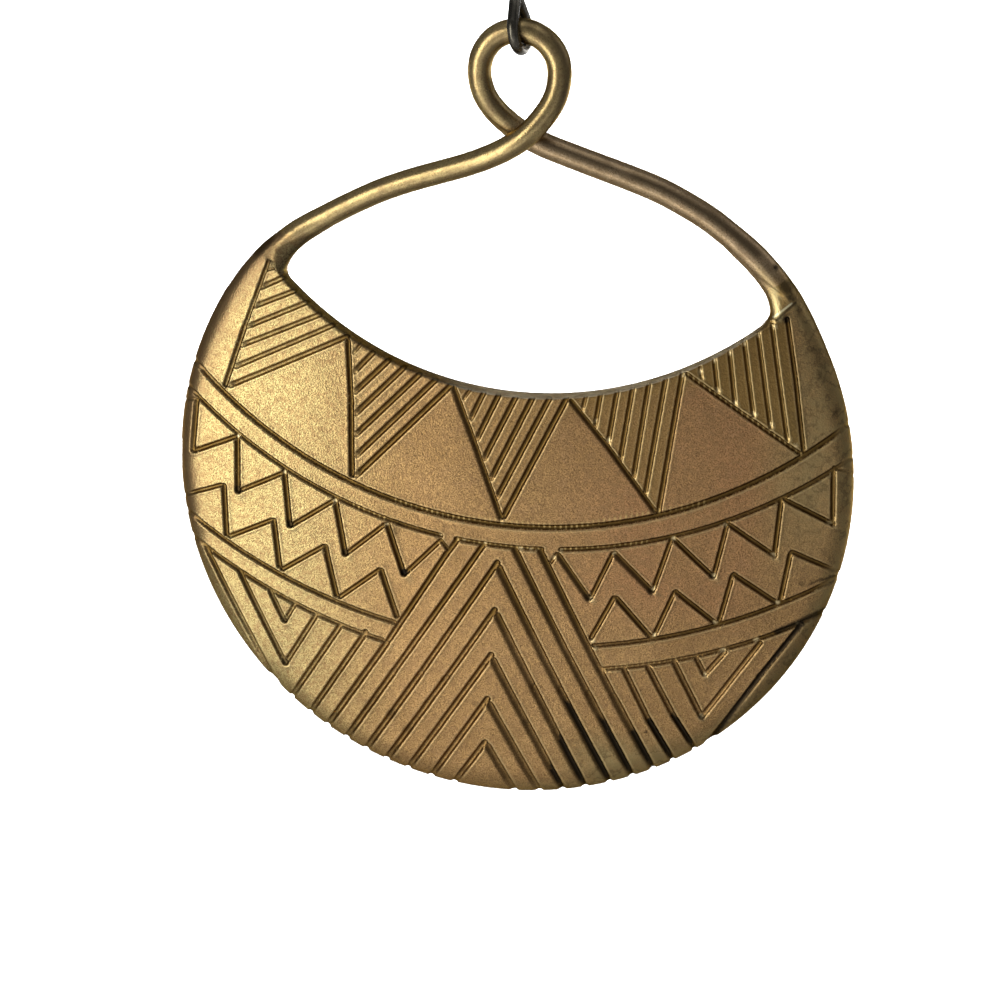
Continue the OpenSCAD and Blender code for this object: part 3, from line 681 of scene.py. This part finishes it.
# painted shade: darker brown on the rolled left rim and on the left horn's shoulder, where the surface turns away from
# the light
left_edge_shade = smooth((np.hypot(sx, sz) - 19.2) / 2.1) * smooth((-sx - 6) / 5) * smooth((sz + 12) / 8) * (~on_wire)
left_edge_shade = np.maximum(left_edge_shade, 0.92 * (1 - smooth(np.hypot(sx + 16.4, sz - 13.2) / 2.1))) * mix(0.3, 1.0, is_front)
grey = smooth((sx - 3.0) / 5) * smooth((-15.2 - sz) / 3.0) * front       # grey-green film, lower right
grey = np.maximum(grey, 0.8 * smooth((sx - 15.2) / 3.5) * smooth((sz + 6) / 8) * front * (~on_wire))
grey = np.maximum(grey, 0.9 * smooth((np.hypot(sx, sz) - 20.0) / 1.2) * smooth((sx + 2) / 8) * front * (~on_wire))
# pale: a paler, yellower tone over the left side, the first triangle's hatched flats and the back; on the front's left
# it is partly the metal's own tone and partly painted light of the key lamp from the left
tri1 = smooth((sz - (4.3 + (sx + 18.2) * 0.55)) / 0.5) * smooth((-10.2 - sx) / 0.6) * smooth((sx - (-18.4 + (sz - 4.2) * 0.287)) / 0.3)
pale = np.maximum(0.66 * tri1 * front, 0.78 * smooth((-4.5 - sx) / 11) * front) * (~on_wire)
pale = np.maximum(pale, 0.4 * (1 - front) * is_loft * (~on_wire))
# hatched faces of the third to fifth triangle are more olive, and darker towards the opening
left3, right3 = -3.62 + 0.437 * (6.05 - sz), 0.08 + 0.423 * (sz + 1.9)
left4, right4 = 3.72 + 0.870 * (5.98 - sz), 9.66 + 0.082 * (sz + 0.72)
left5, right5 = 10.65 + 1.619 * (8.25 - sz), 18.20 - 0.217 * (sz - 3.85)
olive = np.zeros(len(points))
for xl, xr, k0 in ((left3, right3, 0.25), (left4, right4, 0.55), (left5, right5, 0.95)):
    olive = np.maximum(olive, k0 * smooth((sx - xl) / 0.25) * smooth((xr - sx) / 0.25))
olive = np.maximum(olive, 0.80 * (1 - smooth((from_open - 0.2) / 1.5)) * smooth((sx - 1.5) / 4) * (1 - smooth((sx - 15.5) / 1.5)))
olive = olive * front * (~on_wire) * (sz > -2.5)
back_line = np.interp(tau_of, [24.5, 25.5, 26.2, 27], [0, 0.6, 0.6, 0]) * smooth((sx + 7) / 4) * (1 - smooth((sx - 14.5) / 1.5)) * is_loft * (~on_wire)
past_line = (sx - 19.1) * 0.863 - (sz + 7.5) * 0.505              # grey-black film outside the last line, lower right
past_line = 0.36 * smooth((past_line - 0.1) / 0.5) * smooth((sx - 12.5) / 1.5) * front * (~on_wire)
tarnish_and_shade = np.maximum(tarnish_and_shade, np.maximum(back_line, past_line))
film = np.interp(tau_of, [0, 1.5, 2.5, 3, 25, 26, 28], [1, 1, 0.35, 0, 0, 0.8, 1]) * smooth((sx + 7) / 5) * (1 - smooth((sx - 14.0) / 1.5)) * is_loft * (~on_wire)
# mask of the painted highlight on the burrs
burr = np.zeros(len(points))
for x0, z0, r0, h0 in BURRS:
    burr = np.maximum(burr, 1 - smooth((np.hypot(sx - x0, sz - z0) / r0 - 0.25) / 0.75))
burr = burr * front

wire_tone = np.where(is_loft, 1 - smooth((fine[np.minimum(station, N - 1), 6] - 0.05) / 0.9), 0)
row_of = np.where(is_loft & (station < B), station / 6.0, 99)   # row of BAIL; the right horn's stations follow on
# painted shade bands along the wire
wire_shade_band = np.zeros(len(points))
for u0, u1, at, half_w, k0 in WIRE_SHADE_BANDS:
    here = smooth((row_of - u0) / 0.8) * smooth((u1 - row_of) / 0.8)
    wire_shade_band = np.maximum(wire_shade_band, k0 * here * (1 - smooth(np.abs(tau_of - at) / (1.6 * half_w))))
# painted highlight along the right wire's flattened end
end_q = np.abs(sx - np.interp(sz, [12.2, 13.8, 15.2], [15.90, 15.42, 14.30])) / 0.40
end_gleam = (1 - smooth((end_q - 0.15) / 0.85)) * np.interp(sz, [11.7, 12.2, 13.0, 15.4], [0, 1, 0.85, 0]) * (tau_of < 12) * (sx > 0)
wire_shade_band = wire_shade_band * (1 - end_gleam)
wire_tone = wire_tone * (1 - end_gleam)
bead = np.zeros(len(points))
for x0, z0, x1, z1, half_w in BEADS:
    q = np.clip(((sx - x0) * (x1 - x0) + (sz - z0) * (z1 - z0)) / ((x1 - x0) ** 2 + (z1 - z0) ** 2), 0, 1)
    q = np.hypot(sx - x0 - q * (x1 - x0), sz - z0 - q * (z1 - z0)) / half_w
    bead = np.maximum(bead, (1 - smooth((q - 0.5) / 0.5)) * (~is_loft))
rosy = (1 - np.clip(1.5 * olive, 0, 1)) * smooth((sx - 1) / 7) * (1 - smooth((sx - 14.5) / 3)) * smooth((sz + 10) / 4) * front * (~on_wire)
rosy = np.maximum(rosy, wire_tone * smooth((row_of - 20.5) / 2) * (row_of < 60))
light_low = mix(1.0, 0.55, smooth((-8.0 - sz) / 3.0))          # groove patina and the painted shade of the groove walls are lighter below and at the far left
light_low = light_low * mix(1.0, 0.62, smooth((-10.8 - sx) / 1.5) * smooth((sz - 3) / 1.5))
deep, wall = deep * light_low, wall * mix(1.0, light_low, 0.6)
v_row = to_row(moved)
v_row, faces, a_deep, a_faces_light, a_front, a_wall, a_tarnish_and_shade, a_grey, a_pale, a_lip, a_wire, a_rosy, a_left_edge_shade, a_wire_shade_band, a_bead, a_gleam, a_olive, a_film, a_burr = keep_used(
    v_row, faces, np.clip(deep / 0.20, 0, 1) * (1 - 0.8 * lit), lit * share, front, np.clip(wall, 0, 1), np.clip(tarnish_and_shade, 0, 1), np.clip(grey, 0, 1), np.clip(pale, 0, 1), np.clip(lip / LIP, 0, 1), wire_tone, rosy, left_edge_shade, wire_shade_band, bead, end_gleam, olive, film, burr)
pendant = make("pendant_engraved", v_row, faces)
for name, values in (("deep", a_deep), ("faces_light", a_faces_light), ("front", a_front), ("wall", a_wall), ("tarnish_and_shade", a_tarnish_and_shade), ("grey", a_grey), ("pale", a_pale), ("lip", a_lip), ("wire", a_wire), ("rosy", a_rosy), ("left_edge_shade", a_left_edge_shade), ("wire_shade_band", a_wire_shade_band), ("bead", a_bead), ("gleam", a_gleam), ("olive", a_olive), ("film", a_film), ("burr", a_burr)):
    at = pendant.data.attributes.new(name, "FLOAT", "POINT")
    at.data.foreach_set("value", values.astype(np.float32))
print("pendant", len(v_row), "points", sum(len(f) - 2 for f in faces), "triangles")


# ============================================================ ear wire
def tube(path, radius, n=20, cap=True):
    """Round tube along a path, its ends closed flat; radius per point."""
    path = np.array(path, float)
    radius = np.broadcast_to(radius, len(path))
    tangents = np.gradient(path, axis=0)
    tangents /= np.linalg.norm(tangents, axis=1, keepdims=True)
    ref = np.array([1.0, 0, 0]) if abs(tangents[0][0]) < 0.9 else np.array([0, 0, 1.0])
    u = unit(np.cross(tangents[0], ref))
    verts, polys = [], []
    for p, t, r in zip(path, tangents, radius):
        u = unit(u - t * (u @ t))
        v = np.cross(t, u)
        for k in range(n):
            a = 2 * math.pi * k / n
            verts.append(p + r * (math.cos(a) * u + math.sin(a) * v))
    for i in range(len(path) - 1):
        for k in range(n):
            k2 = (k + 1) % n
            polys.append((i * n + k, i * n + k2, (i + 1) * n + k2, (i + 1) * n + k))
    if cap:
        polys.append(tuple(reversed(range(n))))
        polys.append(tuple(range((len(path) - 1) * n, len(path) * n)))
    return verts, polys


def hook_place(p):
    """From the ear wire's own plane (mm) to the row's frame (m)."""
    p = np.asarray(p, float)
    c, s = math.cos(turn), math.sin(turn)
    return np.stack([p[:, 0] * c + p[:, 1] * s, -p[:, 0] * s + p[:, 1] * c, p[:, 2]], 1) * 0.001


hr = HOOK_D / 2
bottom = -BOW_R - TAIL_L
body = [(0, BOW_R, bottom + q) for q in (0, 0.015, 0.05, 0.10, 0.2)]
body_r = [0.72 * hr, 0.86 * hr, 0.96 * hr, hr, hr]
for q in np.linspace(0.5, TAIL_L, 14):
    body.append((0, BOW_R, bottom + q)); body_r.append(hr)
for g in np.linspace(0, 180, 61)[1:]:
    body.append((0, BOW_R * math.cos(math.radians(g)), -BOW_R + BOW_R * math.sin(math.radians(g)))); body_r.append(hr)
for q in np.linspace(0, SHANK_L, 26)[1:]:
    body.append((0, -BOW_R, -BOW_R - q)); body_r.append(hr)
eye_c = EYE_R - carry
half = math.asin(EYE_R / (EYE_UP - eye_c))
reach = math.sqrt((EYE_UP - eye_c) ** 2 - EYE_R ** 2)
eye = []
side_l = np.array([math.sin(half), math.cos(half)])      # y and fall of one side of the teardrop, per mm
for q in np.linspace(0, reach, 14)[:-1]:
    eye.append((0, side_l[0] * q, EYE_UP - side_l[1] * q))
start = math.degrees(math.atan2(EYE_UP - side_l[1] * reach - eye_c, side_l[0] * reach))
for g in np.linspace(start, -180 - start, 49):
    eye.append((0, EYE_R * math.cos(math.radians(g)), eye_c + EYE_R * math.sin(math.radians(g))))
for q in np.linspace(reach, 0, 14)[1:]:
    eye.append((0, -side_l[0] * q, EYE_UP - side_l[1] * q))
eye = np.array(eye)
eye[:, 2] -= EYE_UP
c9, s9 = math.cos(lean), math.sin(lean)
eye = np.stack([-eye[:, 2] * s9 + eye[:, 0] * c9, eye[:, 1] - BOW_R, eye[:, 2] * c9 + eye[:, 0] * s9 + tip_z], 1)
bead = [(0, -BOW_R, tip_z + q) for q in np.linspace(0.42, -0.42, 13)]
bead_r = [max(0.02, 1.04 * hr * math.sqrt(max(0, 1 - (q / 0.42) ** 2))) for q in np.linspace(0.42, -0.42, 13)]
verts, polys = [], []
for path, r in ((body, body_r), (eye, hr), (bead, bead_r)):
    v, f = tube(path, r)
    polys += [tuple(q + len(verts) for q in g) for g in f]
    verts += v
hook = make("ear_hook_wire", hook_place(verts), polys)


# ============================================================ materials
def nodes_of(name):
    m = bpy.data.materials.new(name)
    m.use_nodes = True
    nt = m.node_tree
    return m, nt, nt.nodes["Principled BSDF"]


class Graph:
    """Short ways to build a node tree."""

    def __init__(self, nt):
        self.nt = nt

    def node(self, kind, **inputs):
        n = self.nt.nodes.new(kind)
        for key, value in inputs.items():
            self.put(n.inputs[key.replace("_", " ")], value)
        return n

    def put(self, socket, value):
        if hasattr(value, "links") or isinstance(value, bpy.types.NodeSocket):
            self.nt.links.new(value, socket)
        else:
            socket.default_value = value

    def attr(self, name):
        n = self.nt.nodes.new("ShaderNodeAttribute")
        n.attribute_type = "GEOMETRY"
        n.attribute_name = name
        return n.outputs["Fac"]

    def math(self, op, a, b=0.5, clamp=False):
        n = self.nt.nodes.new("ShaderNodeMath")
        n.operation = op
        n.use_clamp = clamp
        self.put(n.inputs[0], a)
        self.put(n.inputs[1], b)
        return n.outputs[0]

    def blend(self, fac, a, b, kind="MIX"):
        n = self.nt.nodes.new("ShaderNodeMix")
        n.data_type = "RGBA"
        n.blend_type = kind
        n.clamp_factor = True
        self.put(n.inputs[0], fac)
        self.put(n.inputs[6], a)
        self.put(n.inputs[7], b)
        return n.outputs[2]

    def noise(self, coord, scale, detail=3, rough=0.5):
        n = self.nt.nodes.new("ShaderNodeTexNoise")
        self.put(n.inputs["Vector"], coord)
        n.inputs["Scale"].default_value = scale
        n.inputs["Detail"].default_value = detail
        n.inputs["Roughness"].default_value = rough
        return n.outputs["Fac"]

    def near_line(self, coord, a, b, half, soft):
        """1 within half of the line from a to b as seen from the front, 0 beyond half + soft."""
        flat_co = self.nt.nodes.new("ShaderNodeVectorMath")
        flat_co.operation = "MULTIPLY"
        self.put(flat_co.inputs[0], coord)
        flat_co.inputs[1].default_value = (1, 0, 1)
        from_a = self.nt.nodes.new("ShaderNodeVectorMath")
        from_a.operation = "SUBTRACT"
        self.put(from_a.inputs[0], flat_co.outputs[0])
        from_a.inputs[1].default_value = (a[0], 0, a[2])
        way = Vector((b[0] - a[0], 0, b[2] - a[2]))
        dot = self.nt.nodes.new("ShaderNodeVectorMath")
        dot.operation = "DOT_PRODUCT"
        self.put(dot.inputs[0], from_a.outputs[0])
        dot.inputs[1].default_value = way.normalized()
        t = self.math("MINIMUM", self.math("MAXIMUM", dot.outputs["Value"], 0.0), way.length)
        foot = self.nt.nodes.new("ShaderNodeVectorMath")
        foot.operation = "SCALE"
        foot.inputs[0].default_value = way.normalized()
        self.put(foot.inputs["Scale"], t)
        rest = self.nt.nodes.new("ShaderNodeVectorMath")
        rest.operation = "DISTANCE"
        self.put(rest.inputs[0], from_a.outputs[0])
        self.put(rest.inputs[1], foot.outputs[0])
        q = self.math("DIVIDE", self.math("SUBTRACT", rest.outputs["Value"], half), soft)
        return self.math("SUBTRACT", 1.0, q, clamp=True)

    def ramp(self, fac, *stops):
        n = self.nt.nodes.new("ShaderNodeValToRGB")
        e = n.color_ramp.elements
        while len(e) < len(stops):
            e.new(0.5)
        for q, (pos, value) in zip(e, stops):
            q.position = pos
            q.color = (value, value, value, 1) if isinstance(value, (int, float)) else value
        self.put(n.inputs[0], fac)
        return n.outputs[0]


# the step where the right wire's flattened end meets the plate: a painted highlight along its edge and painted shade
# under it
on_front = lambda x, z: to_row((x, (x * x + z * z) / (2 * DOME_R) - HALF_T, z))
RIDGE_A, RIDGE_B = on_front(15.56, 12.06), on_front(16.58, 13.00)
SHADE_A, SHADE_B = on_front(15.74, 11.90), on_front(16.80, 13.05)


def brass():
    m, nt, bsdf = nodes_of("antique_brass")
    g = Graph(nt)
    co = g.node("ShaderNodeTexCoord").outputs["Object"]
    deep, faces_light, front, wall, tarnish_and_shade, grey, pale, lip, wire, rosy, left_edge_shade, wire_shade_band, bead, gleam, olive, film, burr = [g.attr(n) for n in ("deep", "faces_light", "front", "wall", "tarnish_and_shade", "grey", "pale", "lip", "wire", "rosy", "left_edge_shade", "wire_shade_band", "bead", "gleam", "olive", "film", "burr")]
    grain = g.noise(co, 9000, 1, 0.5)            # sand-blasted grain, about 0.1 mm
    speckle = g.noise(co, 12500, 1, 0.5)
    cloud = g.noise(co, 260, 4, 0.6)             # uneven patina, some mm wide
    patch = g.noise(co, 1100, 4, 0.65)
    mottle = g.noise(co, 3000, 3, 0.6)
    specks = g.noise(co, 9500, 1, 0.5)
    body = g.blend(g.ramp(cloud, (0.35, 0.0), (0.68, 1.0)), (0.43, 0.256, 0.104, 1), (0.51, 0.312, 0.132, 1))
    # pale tone, on the left partly painted light of the key lamp
    body = g.blend(pale, body, (0.53, 0.45, 0.205, 1))
    body = g.blend(g.math("MULTIPLY", rosy, g.ramp(cloud, (0.30, 0.35), (0.62, 1.0))), body, (0.44, 0.235, 0.105, 1))
    body = g.blend(g.math("MULTIPLY", wire, 0.78), body, (0.49, 0.395, 0.190, 1))
    body = g.blend(g.math("MULTIPLY", g.math("MULTIPLY", wire, rosy), 0.80), body, (0.46, 0.335, 0.215, 1))
    body = g.blend(g.math("MULTIPLY", g.ramp(patch, (0.52, 0.0), (0.72, 1.0)), 0.28), body, (0.40, 0.24, 0.14, 1))
    smooth_wire = g.math("SUBTRACT", 1.0, g.math("MULTIPLY", wire, 0.55))
    body = g.blend(g.math("MULTIPLY", g.math("MULTIPLY", g.ramp(speckle, (0.38, 1.0), (0.56, 0.0)), 0.80), smooth_wire), body, (0.17, 0.103, 0.045, 1))
    body = g.blend(g.math("MULTIPLY", g.math("MULTIPLY", g.ramp(mottle, (0.40, 1.0), (0.55, 0.0)), 0.55), smooth_wire), body, (0.28, 0.165, 0.075, 1))
    body = g.blend(g.math("MULTIPLY", g.ramp(specks, (0.30, 1.0), (0.37, 0.0)), 0.55), body, (0.10, 0.06, 0.03, 1))
    # painted shade on the rolled left rim and the left horn's shoulder
    body = g.blend(g.math("MULTIPLY", left_edge_shade, g.ramp(patch, (0.25, 0.75), (0.60, 1.0))), body, (0.23, 0.145, 0.075, 1))
    body = g.blend(g.math("MULTIPLY", grey, g.ramp(patch, (0.30, 0.45), (0.60, 1.0))), body, (0.300, 0.222, 0.100, 1))
    body = g.blend(g.math("MULTIPLY", olive, 0.78), body, (0.205, 0.128, 0.036, 1))
    stain = g.noise(co, 700, 4, 0.6)
    body = g.blend(g.math("MULTIPLY", g.math("MULTIPLY", grey, g.ramp(stain, (0.47, 0.0), (0.505, 1.0), (0.54, 0.0))), 0.62), body, (0.09, 0.06, 0.03, 1))
    body = g.blend(g.math("MULTIPLY", g.math("MULTIPLY", deep, 1.2, clamp=True), 0.94), body, (0.108, 0.062, 0.015, 1))
    ripple = g.node("ShaderNodeSeparateXYZ", Vector=co).outputs["X"]
    ripple = g.math("SINE", g.math("MULTIPLY", ripple, 2 * math.pi / 0.00034))
    ripple = g.math("MULTIPLY", g.ramp(ripple, (0.15, 0.0), (0.75, 1.0)), g.ramp(patch, (0.38, 0.35), (0.56, 1.0)))
    body = g.blend(g.math("MULTIPLY", g.math("MULTIPLY", bead, ripple), 0.70), body, (0.62, 0.43, 0.17, 1))
    # painted shade on the groove walls
    body = g.blend(g.math("MULTIPLY", wall, 0.92), body, (0.085, 0.045, 0.014, 1))
    # painted highlight on the tops of groove walls that face the light
    body = g.blend(g.math("MULTIPLY", faces_light, g.math("ADD", 0.32, g.math("MULTIPLY", olive, 0.43))), body, (0.74, 0.57, 0.28, 1))
    # painted highlight on the raised lips of the grooves
    body = g.blend(g.math("MULTIPLY", lip, g.math("ADD", 0.34, g.math("MULTIPLY", olive, 0.40))), body, (0.76, 0.57, 0.28, 1))
    body = g.blend(g.math("MULTIPLY", film, g.ramp(patch, (0.36, 0.45), (0.60, 1.0))), body, (0.72, 0.63, 0.46, 1))
    # painted highlight on the burrs
    body = g.blend(g.math("MULTIPLY", burr, g.ramp(patch, (0.36, 0.30), (0.58, 0.85))), body, (0.80, 0.63, 0.34, 1))
    # painted highlight on the right wire's end
    body = g.blend(g.math("MULTIPLY", gleam, 0.70), body, (0.68, 0.57, 0.31, 1))
    # painted shade bands along the wire
    body = g.blend(wire_shade_band, body, (0.085, 0.058, 0.030, 1))
    # tarnish spots together with painted shade and a painted dark reflection
    body = g.blend(g.math("MULTIPLY", tarnish_and_shade, 0.98), body, (0.014, 0.011, 0.008, 1))
    body = g.blend(g.math("MULTIPLY", wire, g.ramp(patch, (0.42, 0.0), (0.66, 0.42))), body, (0.17, 0.125, 0.07, 1))
    # painted highlight along the step's edge
    body = g.blend(g.math("MULTIPLY", g.math("MULTIPLY", g.near_line(co, RIDGE_A, RIDGE_B, 0.00003, 0.00006), front), 0.85), body, (0.80, 0.72, 0.46, 1))
    # painted shade under the step
    body = g.blend(g.math("MULTIPLY", g.math("MULTIPLY", g.near_line(co, SHADE_A, SHADE_B, 0.00003, 0.00010), front), 0.80), body, (0.05, 0.036, 0.018, 1))
    g.put(bsdf.inputs["Base Color"], body)
    bsdf.inputs["Metallic"].default_value = 1.0
    bsdf.inputs["Specular Tint"].default_value = (0.56, 0.47, 0.35, 1)
    rough = g.math("ADD", 0.305, g.math("MULTIPLY", patch, 0.10))
    rough = g.math("SUBTRACT", rough, g.math("MULTIPLY", deep, 0.04))
    rough = g.math("SUBTRACT", rough, g.math("MULTIPLY", wire, 0.07))
    g.put(bsdf.inputs["Roughness"], rough)
    height = grain
    keep = g.math("SUBTRACT", 1.0, g.math("MULTIPLY", deep, 0.6))
    keep = g.math("SUBTRACT", keep, g.math("MULTIPLY", wire, 0.45))
    bump = g.node("ShaderNodeBump")
    bump.inputs["Distance"].default_value = 0.00010
    g.put(bump.inputs["Strength"], g.math("MULTIPLY", keep, 0.21))
    g.put(bump.inputs["Height"], height)
    g.put(bsdf.inputs["Normal"], bump.outputs[0])
    return m


def steel():
    m, nt, bsdf = nodes_of("dark_steel")
    g = Graph(nt)
    co = g.node("ShaderNodeTexCoord").outputs["Object"]
    patch = g.noise(co, 620, 4, 0.6)
    fine_n = g.noise(co, 9000, 3, 0.6)
    body = g.blend(g.ramp(patch, (0.38, 0.0), (0.70, 1.0)), (0.050, 0.046, 0.038, 1), (0.235, 0.215, 0.178, 1))
    g.put(bsdf.inputs["Base Color"], body)
    bsdf.inputs["Metallic"].default_value = 1.0
    g.put(bsdf.inputs["Roughness"], g.math("ADD", 0.20, g.math("MULTIPLY", fine_n, 0.14)))
    bump = g.node("ShaderNodeBump")
    bump.inputs["Distance"].default_value = 0.00002
    bump.inputs["Strength"].default_value = 0.3
    g.put(bump.inputs["Height"], patch)
    g.put(bsdf.inputs["Normal"], bump.outputs[0])
    return m


pendant.data.materials.append(brass())
hook.data.materials.append(steel())
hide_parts("pendant")
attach(pendant, "pendant")
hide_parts("ear_hook")
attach(hook, "hook")

# ============================================================ floor, light, camera
floor_me = bpy.data.meshes.new("floor")
FZ = -0.45
rows = [(-5.0, FZ), (4.4, FZ)]                  # front to back: y, z
for g in range(6, 91, 6):
    rows.append((4.4 + 1.2 * math.sin(math.radians(g)), FZ + 1.2 - 1.2 * math.cos(math.radians(g))))
rows.append((5.6, 3.4))
fv, ff = [], []
for y, zz in rows:
    fv += [(-5.0, y, zz), (5.0, y, zz)]
for i in range(len(rows) - 1):
    ff.append((2 * i, 2 * i + 1, 2 * i + 3, 2 * i + 2))
floor_me.from_pydata(fv, [], ff)
for p in floor_me.polygons:
    p.use_smooth = True
floor = bpy.data.objects.new("floor", floor_me)
bpy.context.scene.collection.objects.link(floor)
fm, fnt, fb = nodes_of("pale_floor")
fb.inputs["Base Color"].default_value = (0.97, 0.97, 0.97, 1)
fb.inputs["Roughness"].default_value = 0.9
fb.inputs["Specular IOR Level"].default_value = 0.0
floor.data.materials.append(fm)

scene = bpy.context.scene
scene.view_settings.view_transform = "Standard"
scene.view_settings.look = "None"
world = scene.world or bpy.data.worlds.new("World")
scene.world = world
world.use_nodes = True
bg = world.node_tree.nodes["Background"]
bg.inputs["Color"].default_value = (1, 1, 1, 1)
bg.inputs["Strength"].default_value = 0.22


def area(name, at, look, size, radiance, color=(1, 1, 1), spread=180):
    l = bpy.data.lights.new(name, "AREA")
    l.shape = "RECTANGLE"
    l.size, l.size_y = size
    l.energy = radiance * math.pi * size[0] * size[1]
    l.color = color
    l.spread = math.radians(spread)
    o = bpy.data.objects.new(name, l)
    o.location = at
    o.rotation_mode = "QUATERNION"
    o.rotation_quaternion = (Vector(look) - Vector(at)).to_track_quat("-Z", "Y")
    scene.collection.objects.link(o)
    return o


def around(azimuth, elevation, distance):
    """A place seen from the object: azimuth 0 in front of it, negative to its left."""
    g, e = math.radians(azimuth), math.radians(elevation)
    return (distance * math.sin(g) * math.cos(e), -distance * math.cos(g) * math.cos(e), distance * math.sin(e) - 0.045)


TARGET = (0, 0, -0.045)
area("key_left", around(-39.5, -1, 0.6), TARGET, (0.24, 0.64), 4.52, (1.0, 0.98, 0.88))
area("front_soft", around(6, -13, 1.0), TARGET, (1.4, 0.34), 0.14, spread=90)
area("right_soft", around(105, 30, 0.9), TARGET, (0.5, 0.6), 0.40)
area("front_low", around(-15, -32, 0.6), TARGET, (0.6, 0.13), 0.19, spread=60)
area("top_soft", around(0, 74, 0.9), TARGET, (0.9, 0.6), 0.60)
area("back_floor", (0.0, 2.4, 1.6), (0, 2.4, FZ), (3.6, 3.0), 3.3, spread=50)

A_, E_, ROLL_, DIST = math.radians(7.99), math.radians(17.4), math.radians(3.86), 200.0
c = np.array([math.sin(A_) * math.cos(E_), -math.cos(A_) * math.cos(E_), math.sin(E_)])
r = np.array([math.cos(A_), math.sin(A_), 0])
u = np.array([-math.sin(A_) * math.sin(E_), math.cos(A_) * math.sin(E_), math.cos(E_)])
cx, cy = math.cos(ROLL_) * r + math.sin(ROLL_) * u, -math.sin(ROLL_) * r + math.cos(ROLL_) * u
cam_data = bpy.data.cameras.new("camera")
cam_data.sensor_width = 36
cam_data.lens = 115.2
cam_data.shift_x, cam_data.shift_y = -0.00646, -0.01615
cam_data.clip_start, cam_data.clip_end = 0.01, 20
cam = bpy.data.objects.new("camera", cam_data)
scene.collection.objects.link(cam)
place = to_row(DIST * c)
axes = np.stack([ROT @ cx, ROT @ cy, ROT @ c], 1)
cam.matrix_world = Matrix([[*axes[0], place[0]], [*axes[1], place[1]], [*axes[2], place[2]], [0, 0, 0, 1]])
scene.camera = cam

bpy.context.view_layer.update()
